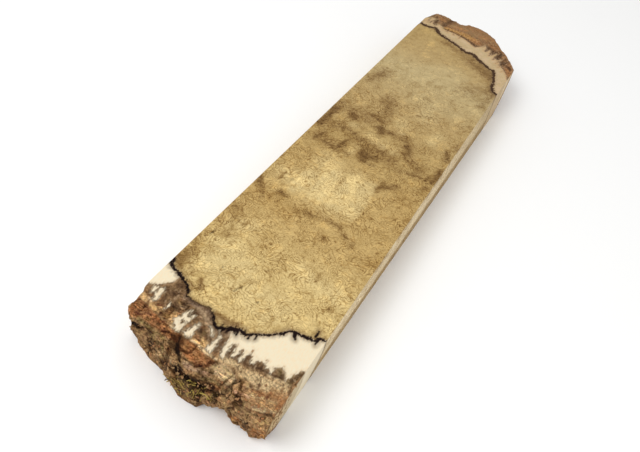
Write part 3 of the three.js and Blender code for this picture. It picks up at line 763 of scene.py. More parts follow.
# The heartwood's plain colour, from the near end to the far one
HEART_TONES = (
    (-125, Tone.GOLDEN_HEART), (-95, Tone.GOLDEN_HEART), (-68, Tone.TAN_HEART), (-40, Tone.TAN_HEART),
    (5, Tone.BROWN_HEART), (50, Tone.OLIVE_HEART), (90, Tone.GREY_HEART), (112, Tone.OLIVE_HEART),
    (145, Tone.BROWN_HEART),
)


def held_in_box(points: Array) -> Array:
    """Holds points, in metres, inside the model's own box."""
    low, high = (np.array(corner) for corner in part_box(BLOCK_NODE))
    return np.clip(points, low, high)


def added(name: str, data: bpy.types.ID) -> bpy.types.Object:
    """Makes an object of some data and puts it in the scene."""
    made = bpy.data.objects.new(name, data)
    bpy.context.scene.collection.objects.link(made)
    return made


@dataclass
class BurlBlock:
    """The whole block, as one closed skin of quads laid over a bent box of columns, rows and layers."""

    thickness: float = 22
    left: SawnSide = SawnSide((-36.05, -0.0092), (-35.75, -0.006))
    right: SawnSide = SawnSide((34.6, 0.0035), (35.06, 0.014))
    splinter: tuple[float, float, float] = (-131, 3, 1.1)  # where it starts, its length and its inset
    near: BarkEnd = NEAR_END
    far: BarkEnd = FAR_END
    columns: int = 130
    layers: int = 34
    near_rows: tuple[int, float] = (104, 42)  # how many rows, and how far in they reach
    far_rows: tuple[int, float] = (68, 52)
    board_rows: int = 84
    eye: tuple[float, float, float] = (64.21, -236.34, 188.7)  # where the photo looks from, over the top
    plate: tuple[float, float, float] = (8, 10, 1.15)  # the bark's plates: width, height and relief
    scale: tuple[float, float, float] = (3.6, 4.4, 0.5)
    fissures: tuple[tuple[float, float], ...] = ((5.2, 0.95), (2.4, 0.6))  # spacing and depth of the cracks
    fissure_shape: tuple[float, float] = (1.3, 0.13)  # how long for their spacing, and how narrow
    crumb: tuple[tuple[float, float], ...] = ((1.9, 0.3), (0.9, 0.2))  # size and relief
    top_crumbs: float = 0.6  # how much of the crumbs the torn bark of the upper face has
    far_share: float = 0.5  # how much of the crumbs and the cracks the far end has
    sunk: tuple[float, float, float] = (0.3, 0.55, 5.5)  # torn bark on the upper face
    rim: tuple[float, float] = (2.6, 0.7)
    torn_fade: float = 4
    skin_depth: float = 4  # how far in an end's swell and broad relief go
    rind_depth: float = 3  # how far in its crumbs go
    lean_reach: float = 60  # how far in the skin follows an end's lean
    layer_reach: float = 90  # how far in the growth layers do
    far_relief: float = 40  # keeps the relief of the two ends apart
    onset: tuple[float, float, float] = (6, 8, 14)  # how soon relief, crumbs and saw marks begin
    foot: tuple[float, float] = (0.88, 10)  # where the crumbs start to end above the lower face, and how soon
    crack: Carving = Carving(0.7, 0.9, 0.6)
    hollow: Carving = Carving(1.3, 1.6, 0.5)
    deepest: float = 3
    wander: tuple[tuple[float, float], ...] = ((5, 0.8), (1.6, 0.4))  # how the growth layers waver
    side_waves: tuple[float, float, float] = (1.5, 9, 6)  # the same below the top: swing, width and height
    side_dim: tuple[float, float] = (10, 120)  # where along y the right side starts to dim, and over how far
    side_tan: tuple[float, float] = (0.55, 0.2)  # the same for the depth where it turns tan
    outer_bark: tuple[float, float] = (7, 4)  # how far out its own colour starts, and over how far
    moss_clump: float = 1.3
    moss_edge: tuple[float, float] = (2.4, 0.4)  # how soft the patch is, and its share right on the edge
    moss_least: float = 0.12  # between the clumps
    spots: dict[str, Array] = field(default_factory=dict)  # where each point lies
    marks: dict[str, Array] = field(default_factory=dict)  # what paint() found for each point

    @property
    def ends(self) -> tuple[BarkEnd, BarkEnd]:
        """Both ends, the near one first."""
        return self.near, self.far

    def across(self, share: Array, y: Array, depth: Array) -> Array:
        """Places x at a share of the block's width, with the broken splinter at the left."""
        start, length, inset = self.splinter
        left = self.left.x(y, depth) + inset * smooth((start - y) / length) * (1 - depth)
        return mix(left, self.right.x(y, depth), share)

    def crossing(self, outline: Sequence[Point], share: Array, depth: float) -> Array:
        """Finds the y where each column meets an outline."""
        xs, ys = zip(*outline)
        y = np.full(share.shape, float(ys[len(ys) // 2]))
        for _ in range(3):
            y = np.interp(self.across(share, y, depth), xs, ys)
        return y

    def rows(self, near_edge: Array, far_edge: Array) -> Array:
        """Places every row along every column of one sawn face.

        Args:
            near_edge, far_edge: The y of the two ends at each column.

        Returns:
            The y of each row and column.
        """
        near = near_edge + np.linspace(0, self.near_rows[1], self.near_rows[0])[:, None]
        far = far_edge - np.linspace(self.far_rows[1], 0, self.far_rows[0])[:, None]
        between = np.linspace(0, 1, self.board_rows + 2)[1:-1, None]
        return np.vstack([near, mix(near[-1], far[0], between), far])

    def relief(self, x: Array, z: Array) -> Array:
        """Gives the bark's broad relief, the same as the model's own."""
        plates = np.abs(noise(x / self.plate[0], z / self.plate[1], Slice.PLATES))
        scales = noise(x / self.scale[0], z / self.scale[1], Slice.SCALES)
        return self.plate[2] * (1 - 2 * plates) + self.scale[2] * scales

    def crumbs(self, x: Array, y: Array) -> Array:
        """Gives the fine relief that lies over the broad one: narrow fissures and crumbs between them."""
        total = np.zeros(x.shape)
        stretch, narrow = self.fissure_shape
        for layer, (size, relief) in enumerate(self.fissures):
            gap = noise(x / size, y / (stretch * size), Slice.FISSURES + layer)
            total -= relief * np.exp(-((gap / narrow) ** 2))
        for layer, (size, relief) in enumerate(self.crumb):
            total += relief * noise(x / size, y / size, Slice.CRUMBS + layer)
        return total

    def skin(self) -> tuple[Array, Array, Array, list[Array]]:
        """Numbers the points on the skin of the bent box and joins them in quads.

        Returns:
            The row, the column and the layer of each point, and the quads of the six faces.
        """
        counts = (self.near_rows[0] + self.board_rows + self.far_rows[0], self.columns + 1, self.layers + 1)
        grid = np.indices(counts)
        last = np.array(counts)[:, None, None, None] - 1
        outside = ((grid == 0) | (grid == last)).any(axis=0)
        number = np.full(counts, -1)
        number[outside] = np.arange(outside.sum())

        def quads(sheet: Array, turned: bool) -> Array:
            """Joins a sheet of point numbers in quads."""
            corners = [sheet[:-1, :-1], sheet[:-1, 1:], sheet[1:, 1:], sheet[1:, :-1]]
            joined = np.stack([c.ravel() for c in corners], axis=1)
            return joined[:, ::-1] if turned else joined

        faces = [
            quads(number[:, :, 0], False), quads(number[:, :, -1], True),
            quads(number[:, 0, :], True), quads(number[:, -1, :], False),
            quads(number[0, :, :], True), quads(number[-1, :, :], False),
        ]
        row, column, layer = (axis[outside] for axis in grid)
        return row, column, layer, faces

    def sink(self, end: BarkEnd, x: Array, y: Array, inward: Array, torn: Array) -> Array:
        """Measures how far the torn bark of one end lies below the upper face."""
        base, swing, size = self.sunk
        lumps = 0.5 + 0.5 * noise(x / size, y / size, Slice.LUMPS)
        rim = self.rim[1] * np.clip(1 - inward / self.rim[0], 0, 1) ** 2
        return end.torn * (torn * (base + swing * lumps) + rim)

    def shape(self, row: Array, column: Array, layer: Array) -> Array:
        """Places every point of the skin and notes where its growth layer meets the upper face.

        Args:
            row, column, layer: The place of each point in the bent box.

        Returns:
            The points in the sawing frame.
        """
        shares = np.linspace(0, 1, self.columns + 1)
        share, depth = shares[column], layer / self.layers
        edges = {
            (end, face): self.crossing(getattr(end, face), shares, level)
            for end in self.ends for face, level in (("top", 0.0), ("bottom", 1.0))
        }
        y_top, y_bottom = (
            self.rows(*(edges[end, face] for end in self.ends))[row, column] for face in ("top", "bottom")
        )
        y = mix(y_top, y_bottom, depth)
        x = self.across(share, y, depth)
        z_up = self.thickness * (1 - depth)
        drop, shift, bark, rind = (np.zeros(x.shape) for _ in range(4))
        for end in self.ends:
            inward = (y_top - edges[end, "top"][column]) * -end.outward
            knee = mix(*end.knee, share)
            lean = np.clip((depth - knee) / (1 - knee), 0, 1)
            fall = edges[end, "bottom"][column] - edges[end, "top"][column]
            y = y + (lean - depth) * fall * smooth(1 - inward / self.lean_reach)
            swell = mix(*end.belly, share) * np.sin(np.pi * depth)
            relief = smooth(depth * self.onset[0]) * self.relief(x, z_up + self.far_relief * end.outward)
            y = y + end.outward * smooth(1 - inward / self.skin_depth) * (swell + relief)
            outer = smooth(1 - inward / self.rind_depth)
            torn = smooth((end.thickness - inward) / self.torn_fade)
            drop += self.sink(end, x, y, inward, torn)
            follow = mix(mix(*end.lean, share), 1, outer)
            shift += follow * fall * lean * smooth(1 - inward / self.layer_reach)
            rind = rind + outer
            bark = np.maximum(bark, torn)
        self.note_layers(x, y, z_up, shift, row, depth)
        sawn = np.where(column == self.columns, 1.0, np.where(column == 0, 0.5, 0.0))
        self.spots["sawn"] = sawn * smooth(depth * self.onset[2]) * (1 - smooth(rind * 1.6)) * (depth < 1)
        cut = sum(
            self.crack.depth_at(self.spots, end.cracks) + self.hollow.depth_at(self.spots, end.hollows)
            for end in self.ends
        )
        near_half = row < row.max() // 2
        crumbs = self.crumbs(x, y_top + 0.8 * self.thickness * depth)
        crumbs, cut = (part * np.where(near_half, 1.0, self.far_share) for part in (crumbs, cut))
        # how deep the pits and fissures lie, which the bark reads for its painted shade
        self.spots["pit_shade"] = cut - crumbs
        drop += bark * (cut - self.top_crumbs * crumbs)
        rough = smooth(depth * self.onset[1]) * (1 - smooth((depth - self.foot[0]) * self.foot[1]))
        y = y + np.where(near_half, -1.0, 1.0) * rough * rind * (crumbs - cut)
        z = (self.thickness - np.clip(drop, 0, self.deepest)) * (1 - depth)
        return np.stack([self.across(share, y, depth), y, z], axis=1)

    def note_layers(self, x: Array, y: Array, z: Array, shift: Array, row: Array, depth: Array) -> None:
        """Notes, for each point, where its growth layer meets the upper face.

        The near end's face is seen in the photo itself, so its points are traced along the line of sight.

        Args:
            x, y, z: The points.
            shift: How far the layers lean from the upper face to each point.
            row: The points' rows, of which the first is the near end's face.
            depth: 0 on the upper face and 1 on the lower.
        """
        away = self.eye[2] / (self.eye[2] + self.thickness - z)
        seen = row == 0
        swing, width, height = self.side_waves
        waves = swing * smooth(depth * 3) * noise(x / width, (z + y / 4) / height, Slice.SIDE_WAVES)
        u = np.where(seen, mix(self.eye[0], x, away), x)
        v = np.where(seen, mix(self.eye[1], y, away), y - shift + waves)
        for layer, (size, sway) in enumerate(self.wander):
            u, v = (u + sway * noise(u / size, v / size, Slice.WANDER_X + layer),
                    v + sway * noise(u / size, v / size, Slice.WANDER_Y + layer))
        self.spots.update(u=u, v=v, x=x, y=y, depth=depth)

    def heart_ground(self) -> Array:
        """Gives the plain colour of the heartwood along the block, and of the right sawn side."""
        x, y, depth = (self.spots[name] for name in ("x", "y", "depth"))
        colours = np.array([tone.linear for _, tone in HEART_TONES])
        places = [at for at, _ in HEART_TONES]
        ground = np.stack([np.interp(y, places, colours[:, c]) for c in range(3)], axis=1)
        side = (smooth(depth / 0.04) * (depth < 0.999) * (x > 0))[:, None]
        dim = smooth((y - self.side_dim[0]) / self.side_dim[1])
        tan = smooth((depth - self.side_tan[0]) / self.side_tan[1])
        sawn = mix(Tone.SIDE_CREAM.linear, Tone.SIDE_DIM.linear, dim[:, None])
        sawn = mix(sawn, Tone.SIDE_TAN.linear, (0.85 * tan)[:, None])
        return mix(ground, sawn, 0.9 * side)

    def board_ground(self) -> tuple[Array, Array]:
        """Lays the heartwood's figure over its plain colour.

        Returns:
            The colour, and how much darker the figure is than the plain wood, below 0 where it is lighter.
        """
        u, v, depth = (self.spots[name] for name in ("u", "v", "depth"))
        plain = self.heart_ground()
        figured = plain
        share = 1 - smooth(depth * 3)
        for wash in BOARD_WASHES:
            figured = wash.over(figured, u, v, share)
        dusk = 1 - figured.mean(axis=1) / plain.mean(axis=1)
        ground = mix(plain, figured, np.where(dusk > 0, 0.5, 1.0)[:, None])
        return BOARD_CHECKS.over(ground, u, v, share), dusk

    def end_ground(self, end: BarkEnd, ground: Array, heart: Array, bark: Array) -> Array:
        """Lays the stains and the bark of one end over a ground colour.

        Args:
            end: The end.
            ground: The colour so far.
            heart: The distance to the black line, above 0 in the heartwood.
            bark: The distance out from the sapwood's limit.

        Returns:
            The new colour of each point.
        """
        plain = mix(Tone.STAIN.linear, Tone.BARK_BROWN.linear, smooth(bark / 5)[:, None])
        outer = smooth((bark - self.outer_bark[0]) / self.outer_bark[1])
        plain = mix(plain, Tone.OUTER_BARK.linear, outer[:, None])
        painted = mix(ground, plain, smooth(-heart / 0.8 + 0.5)[:, None])
        for wash in end.washes:
            painted = wash.over(painted, self.spots["u"], self.spots["v"], smooth(-heart / 1.5 + 0.6))
        return painted

    def paint(self) -> dict[str, Array]:
        """Works out the colour and the markings of every point.

        Returns:
            The ground colour, and the distances that the finish draws sharp lines from.
        """
        u, v, sawn = (self.spots[name] for name in ("u", "v", "sawn"))
        ground, dusk = self.board_ground()
        marks = {"figure": dusk, "heart": np.full(u.shape, OUT_OF_REACH), "line": np.zeros(u.shape)}
        marks |= {name: np.full(u.shape, -OUT_OF_REACH) for name in ("cream", "bark", "crack", "spur")}
        for end in self.ends:
            heart = end.inside(end.line, u, v)
            here = heart < 30
            bark = -end.inside(end.limit, u, v)
            marks["heart"] = np.minimum(marks["heart"], heart)
            marks["line"] = np.where(here, np.interp(u, *zip(*end.line_width)), marks["line"])
            marks["cream"] = np.maximum(marks["cream"], end.cream(u, v))
            marks["bark"] = np.where(here, np.maximum(marks["bark"], bark), marks["bark"])
            marks["crack"] = np.maximum(marks["crack"], reach(u, v, end.cracks))
            marks["spur"] = np.maximum(marks["spur"], reach(u, v, end.spurs))
            ground = self.end_ground(end, ground, heart, bark)
        pale = mix(Tone.SIDE_CREAM.linear, Tone.PHLOEM_PALE.linear, smooth(marks["bark"] / 12)[:, None])
        ground = mix(ground, pale, (0.85 * sawn * smooth(marks["bark"] / 2 + 0.5))[:, None])
        marks["bark"] = mix(marks["bark"], np.minimum(marks["bark"], 5), sawn)
        marks["line"] = marks["line"] * (1 - 0.7 * sawn)
        clump = smooth((noise(u / self.moss_clump, v / self.moss_clump, Slice.CLUMPS) + 0.1) / 0.4)
        patch = smooth(reach(u, v, MOSS_PATCH) / self.moss_edge[0] + self.moss_edge[1])
        return marks | {
            "sawn": sawn, "ground": ground, "pit_shade": self.spots["pit_shade"],
            "moss": patch * mix(self.moss_least, 1, clump),
        }

    def build(self) -> bpy.types.Object:
        """Makes the block's mesh with its colour and markings.

        Returns:
            The new object, without a material.
        """
        row, column, layer, faces = self.skin()
        points = (self.shape(row, column, layer) - [*MIDDLE, 0]) * MM
        self.marks = self.paint()
        mesh = bpy.data.meshes.new("burl_wood_skin")
        mesh.from_pydata(held_in_box(points).tolist(), [], np.vstack(faces).tolist())
        for name, values in self.marks.items():
            if values.ndim == 2:
                colour = mesh.attributes.new(name, "FLOAT_COLOR", "POINT")
                colour.data.foreach_set("color", np.hstack([values, np.ones((len(values), 1))]).ravel())
            else:
                mesh.attributes.new(name, "FLOAT", "POINT").data.foreach_set("value", values)
        mesh.shade_smooth()
        mesh.set_sharp_from_angle(angle=math.radians(50))
        mesh.update()
        return added("burl_wood_skin", mesh)


class Signal:
    """A socket of a node tree that can stand in arithmetic."""

    def __init__(self, graph: "Graph", socket: bpy.types.NodeSocket) -> None:
        """Keeps the tree and the output socket."""
        self.graph, self.socket = graph, socket

    def math(self, operation: str, *others: "Signal | float") -> "Signal":
        """Adds a Math node with this socket first."""
        return self.graph.node("ShaderNodeMath", {"operation": operation}, dict(enumerate((self, *others))))

    def __add__(self, other: "Signal | float") -> "Signal":
        """Adds."""
        return self.math("ADD", other)

    def __sub__(self, other: "Signal | float") -> "Signal":
        """Subtracts."""
        return self.math("SUBTRACT", other)

    def __rsub__(self, other: float) -> "Signal":
        """Subtracts from a number."""
        return self.graph.node("ShaderNodeMath", {"operation": "SUBTRACT"}, {0: other, 1: self})

    def __mul__(self, other: "Signal | float") -> "Signal":
        """Multiplies."""
        return self.math("MULTIPLY", other)

    def __abs__(self) -> "Signal":
        """Drops the sign."""
        return self.math("ABSOLUTE")

    def __getitem__(self, name: str) -> "Signal":
        """Gives another output of the same node."""
        return Signal(self.graph, self.socket.node.outputs[name])

    def step(self, low: float, high: float) -> "Signal":
        """Eases from 0 at low to 1 at high."""
        return self.graph.node("ShaderNodeMapRange", {"interpolation_type": "SMOOTHSTEP"},
                               {"Value": self, "From Min": low, "From Max": high})

    def fade(self, low: float, high: float) -> "Signal":
        """Eases from 1 at low to 0 at high."""
        return 1 - self.step(low, high)


class Graph:
    """A node tree with one way to add any node to it."""

    def __init__(self, tree: bpy.types.NodeTree) -> None:
        """Empties the tree."""
        self.tree = tree
        tree.nodes.clear()

    @staticmethod
    def find(sockets: Any, key: str | int) -> bpy.types.NodeSocket:
        """Finds a socket by its number, its identifier or its name."""
        if isinstance(key, int):
            return sockets[key]
        return next((s for s in sockets if s.identifier == key), None) or sockets[key]

    def node(self, kind: str, settings: dict[str, Any] | None = None,
             inputs: dict[Any, Any] | None = None, out: str | int = 0) -> Signal:
        """Adds a node.

        Args:
            kind: The node's type.
            settings: Properties to set first.
            inputs: The value or the link of each input socket.
            out: The output to return.

        Returns:
            The chosen output.
        """
        made = self.tree.nodes.new(kind)
        for name, value in (settings or {}).items():
            setattr(made, name, value)
        for key, value in (inputs or {}).items():
            socket = self.find(made.inputs, key)
            if isinstance(value, Signal):
                self.tree.links.new(value.socket, socket)
            else:
                socket.default_value = value
        return Signal(self, self.find(made.outputs, out) if len(made.outputs) else None)

    def place(self) -> Signal:
        """Reads the place on the piece, in mm."""
        where = self.node("ShaderNodeTexCoord", {}, {}, "Object")
        return self.vector("SCALE", where, 1 / MM)

    def along(self, place: Signal) -> Signal:
        """Reads how far along the block a place is."""
        return self.node("ShaderNodeSeparateXYZ", {}, {"Vector": place}, "Y")

    def vector(self, operation: str, *values: Any) -> Signal:
        """Adds a Vector Math node; a scale goes to its own socket."""
        keys = [0, "Scale"] if operation == "SCALE" else range(len(values))
        return self.node("ShaderNodeVectorMath", {"operation": operation}, dict(zip(keys, values)))

    def mix(self, factor: Signal | float, a: Any, b: Any, blend: str = "MIX") -> Signal:
        """Mixes two colours."""
        return self.node("ShaderNodeMix", {"data_type": "RGBA", "blend_type": blend},
                         {"Factor_Float": factor, "A_Color": a, "B_Color": b}, "Result_Color")

    def grain(self, place: Signal, size: float, detail: float = 2, out: str = "Fac",
              rough: float = 0.5) -> Signal:
        """Adds noise whose features are about size millimetres."""
        return self.node("ShaderNodeTexNoise", {}, {
            "Vector": place, "Scale": 1 / size, "Detail": detail, "Roughness": rough,
        }, out)

    def cells(self, place: Signal, size: float, feature: str = "F1") -> Signal:
        """Adds cells of about size millimetres, and measures the distance inside them."""
        return self.node("ShaderNodeTexVoronoi", {"feature": feature}, {
            "Vector": place, "Scale": 1 / size,
        }, "Distance")

    def mark(self, name: str, out: str = "Fac") -> Signal:
        """Reads one of the piece's own markings."""
        return self.node("ShaderNodeAttribute", {"attribute_name": name}, {}, out)

    def bump(self, height: Signal, distance: float, strength: float = 1.0) -> Signal:
        """Adds a bump that is distance metres high."""
        return self.node("ShaderNodeBump", {}, {
            "Strength": strength, "Distance": distance, "Height": height,
        }, "Normal")

    def surface(self, colour: Any, rough: Signal | float, **others: Any) -> None:
        """Ends the tree with its one shader.

        Args:
            colour, rough: The base colour and the roughness.
            others: Specular for the specular level and Normal for the bump.
        """
        names = {"Specular": "Specular IOR Level", "Normal": "Normal"}
        inputs = {"Base Color": colour, "Roughness": rough}
        inputs |= {names[key]: value for key, value in others.items()}
        shader = self.node("ShaderNodeBsdfPrincipled", {}, inputs)
        self.node("ShaderNodeOutputMaterial", {}, {"Surface": shader})


def new_material(name: str) -> tuple[bpy.types.Material, Graph]:
    """Makes an empty node material and its graph."""
    material = bpy.data.materials.new(name)
    material.use_nodes = True
    return material, Graph(material.node_tree)


@dataclass(frozen=True)
class Tint:
    """A colour laid over the ground where a pattern lies past a level.

    Args:
        start, full: The pattern's levels where the tint starts and is full, in either order.
        strength: Its share where it is full.
        colour: A tone to mix in, or three numbers that multiply the ground.
    """

    start: float
    full: float
    strength: float
    colour: Tone | tuple[float, float, float]

    def over(self, ground: Any, pattern: Signal, share: Signal | None = None) -> Signal:
        """Lays the tint over a ground colour.

        Args:
            ground: The colour so far.
            pattern: What decides where the tint lies.
            share: How much of the tint each place takes, all of it if left out.

        Returns:
            The new colour.
        """
        rising = self.start < self.full
        cover = pattern.step(self.start, self.full) if rising else pattern.fade(self.full, self.start)
        cover = (cover if share is None else cover * share) * self.strength
        if isinstance(self.colour, Tone):
            return pattern.graph.mix(cover, ground, self.colour.rgba)
        return pattern.graph.mix(cover, ground, (*self.colour, 1), "MULTIPLY")


@dataclass(frozen=True)
class HeartFinish:
    """The burl figure of the sawn heartwood: clouds, curled lines, eyes and pores."""

    swirl: float = 10.0
    sizes: tuple[float, float, float, float] = (7.5, 0.8, 6.0, 2.8)  # of clouds, grain, wrinkles and curls
    wrinkles: float = 11.0
    curls: float = 6.5
    eye_size: float = 9.0
    rings: float = 11.0
    cell_size: float = 5.4
    pore_size: float = 1.5
    crisp: tuple[float, float, float] = (10, 120, 0.82)  # where along the block the figure gets softer
    faintest: float = 0.2
    cloud_light: Tint = Tint(0.5, 0.7, 0.8, (1.3, 1.28, 1.22))
    cloud_dark: Tint = Tint(0.5, 0.32, 0.6, (0.7, 0.62, 0.48))
    blot: Tint = Tint(0.57, 0.72, 0.75, (0.5, 0.41, 0.32))
    ridge: Tint = Tint(0.34, 0.5, 0.6, (1.25, 1.24, 1.2))
    outline: Tint = Tint(0.09, 0.0, 0.6, (0.58, 0.48, 0.34))
    curl: Tint = Tint(0.16, 0.0, 0.85, (0.53, 0.43, 0.3))
    pore: Tint = Tint(0.3, 0.1, 0.6, (0.42, 0.32, 0.22))
    grain_light: Tint = Tint(0.48, 0.66, 0.5, (1.3, 1.29, 1.24))
    grain_dark: Tint = Tint(0.52, 0.34, 0.52, (0.64, 0.56, 0.43))

    def draw(self, graph: Graph, place: Signal, ground: Signal) -> tuple[Signal, Signal]:
        """Draws the burl figure.

        Args:
            graph: The material's graph.
            place: The place on the piece, in mm.
            ground: The plain colour.

        Returns:
            The figured colour and the height of its grain.
        """
        turn = graph.vector("SUBTRACT", graph.grain(place, 16, 2, "Color"), (0.5, 0.5, 0.5))
        swirled = graph.vector("ADD", place, graph.vector("SCALE", turn, self.swirl))
        figure = graph.mark("figure")
        dusk = figure.math("MAXIMUM", 0.0)
        glow = (figure * -1.0).math("MAXIMUM", 0.0)
        cloud = graph.grain(swirled, self.sizes[0], 5, rough=0.72) - dusk * 0.4 + glow * 0.35
        fine = graph.grain(swirled, self.sizes[1], 3, rough=0.62)
        contour = (graph.grain(swirled, self.sizes[2], 0.7) * self.wrinkles).math("PINGPONG", 0.5)
        curl = (graph.grain(swirled, self.sizes[3], 0.8) * self.curls).math("PINGPONG", 0.5)
        where = (graph.grain(place, 11, 2) + glow * 0.3).step(0.4, 0.56)
        curled = (graph.grain(place, 5, 2) + dusk - glow * 0.35).step(0.35, 0.6)
        wrinkle = contour.fade(0.0, 0.15) * where
        eyes = graph.cells(swirled, self.eye_size)
        rings = (eyes * self.rings).math("PINGPONG", 0.5).fade(0.0, 0.3) * eyes.fade(0.12, 0.42)
        pores = graph.cells(swirled, self.pore_size)
        some = (graph.grain(place, 2.3, 1) + dusk).step(0.45, 0.6)
        jitter = graph.vector("SCALE", graph.grain(place, 1.8, 2, "Color"), 2.4)
        cells = graph.cells(graph.vector("ADD", swirled, jitter), self.cell_size, "DISTANCE_TO_EDGE")
        celled = (graph.grain(place, 9, 2) + dusk * 1.5).step(0.44, 0.6)
        blots = graph.grain(swirled, 2.4, 6, rough=0.84) + dusk * 0.55
        crisp = 1 - graph.along(place).step(*self.crisp[:2]) * self.crisp[2]
        sharp = crisp * (1 - self.faintest) + self.faintest
        colour = self.cloud_light.over(ground, cloud)
        for tint, pattern, share in (
            (self.cloud_dark, cloud, None), (self.blot, blots, None), (self.ridge, contour, where),
        ):
            colour = tint.over(colour, pattern, share)
        colour = graph.mix((wrinkle * 0.9 + rings * 0.5) * sharp, colour, (*self.curl.colour, 1), "MULTIPLY")
        for tint, pattern, share in (
            (self.outline, cells, celled * sharp), (self.curl, curl, curled * sharp),
            (self.pore, pores, some * sharp), (self.grain_light, fine, crisp), (self.grain_dark, fine, crisp),
        ):
            colour = tint.over(colour, pattern, share)
        return colour, fine * 0.3 - wrinkle * 0.4 - pores.fade(0.1, 0.3) * some * 0.6


@dataclass(frozen=True)
class BarkFinish:
    """Crumbled outer bark and layered inner bark, with painted shade in its crevices and painted highlight on
    its specks and fibres.
    """

    layered: tuple[float, float, float] = (0.6, 1.9, 0.9)  # how the inner bark's layers are drawn out
    outer: tuple[float, float] = (11, 16)  # where the inner bark ends and the outer bark is whole
    calm: tuple[float, float, float] = (60, 140, 0.6)  # where along the block the bark gets calmer
    dusty: Tint = Tint(0.5, 0.68, 0.3, Tone.OUTER_BARK)
    rusty: Tint = Tint(0.48, 0.34, 0.3, Tone.RED_BROWN)
    # pale fibres, partly their own colour and partly painted highlight on the raised shreds
    shred_light: Tint = Tint(0.44, 0.64, 0.85, (1.6, 1.58, 1.52))
    # light specks: partly the bark's own colour, partly painted highlight
    fleck_light: Tint = Tint(0.5, 0.64, 0.8, (1.5, 1.46, 1.38))
    # lighter and darker mottles of the bark
    mottle_light: Tint = Tint(0.52, 0.66, 0.6, (1.4, 1.37, 1.32))
    mottle_dark: Tint = Tint(0.46, 0.34, 0.75, (0.42, 0.33, 0.26))
    # painted shade in the low parts of the crumbs, which the bump also reads
    crumb_shade: Tint = Tint(0.46, 0.32, 0.85, (0.3, 0.22, 0.17))
    # dark specks: partly the bark's own colour, partly painted shade
    fleck_dark: Tint = Tint(0.47, 0.36, 0.85, (0.3, 0.23, 0.18))
    # painted shade in the bark's fine seams and splits
    seam_shade: Tint = Tint(0.035, 0.0, 0.85, (0.2, 0.13, 0.1))
    split_shade: Tint = Tint(0.02, 0.0, 0.6, (0.25, 0.17, 0.12))
    # painted shade in the carved pits and fissures
    pit_shade: Tint = Tint(0.3, 1.1, 0.85, (0.2, 0.14, 0.1))

    def draw(self, graph: Graph, place: Signal, ground: Signal) -> tuple[Signal, Signal]:
        """Draws the crumbled bark and inner bark, with its painted shade and painted highlight.

        Args:
            graph: The material's graph.
            place: The place on the piece, in mm.
            ground: The plain colour.

        Returns:
            The bark's colour and its height.
        """
        layered = graph.vector("MULTIPLY", place, self.layered)
        crumbs = graph.grain(place, 1.2, 5, rough=0.72)
        shreds = graph.grain(layered, 1.5, 4, rough=0.6)
        outer = graph.mark("bark").step(*self.outer)
        inner_flecks = graph.grain(layered, 0.95, 3, rough=0.6)
        flecks = graph.grain(place, 0.9, 2, rough=0.6) * outer + inner_flecks * (1 - outer)
        mottle = graph.grain(place, 2.1, 3, rough=0.65)
        seam_shade = abs(graph.grain(layered, 2.7, 4, rough=0.6) - 0.5)
        split_shade = abs(graph.grain(place, 1.5, 4, rough=0.6) - 0.5)
        patches = graph.grain(place, 3.0, 4, rough=0.6)
        calm = 1 - graph.along(place).step(*self.calm[:2]) * self.calm[2]
        clear = calm * (graph.grain(place, 4.2, 2).step(0.36, 0.58) * 0.6 + 0.5)
        colour = self.rusty.over(self.dusty.over(ground, patches), patches)
        colour = graph.mix(0.16, colour, graph.grain(place, 1.7, 3, "Color"), "OVERLAY")
        # Light specks and fibres are partly painted highlight; crumbs, seams, splits and pits are painted
        # shade
        for tint, pattern, share in (
            (self.shred_light, shreds, clear), (self.fleck_light, flecks, clear),
            (self.mottle_light, mottle, None), (self.mottle_dark, mottle, clear),
            (self.crumb_shade, crumbs, clear), (self.fleck_dark, flecks, clear),
            (self.seam_shade, seam_shade, calm), (self.split_shade, split_shade, calm), (self.pit_shade, graph.mark("pit_shade"), calm),
        ):
            colour = tint.over(colour, pattern, share)
        return colour, crumbs + shreds * 0.5


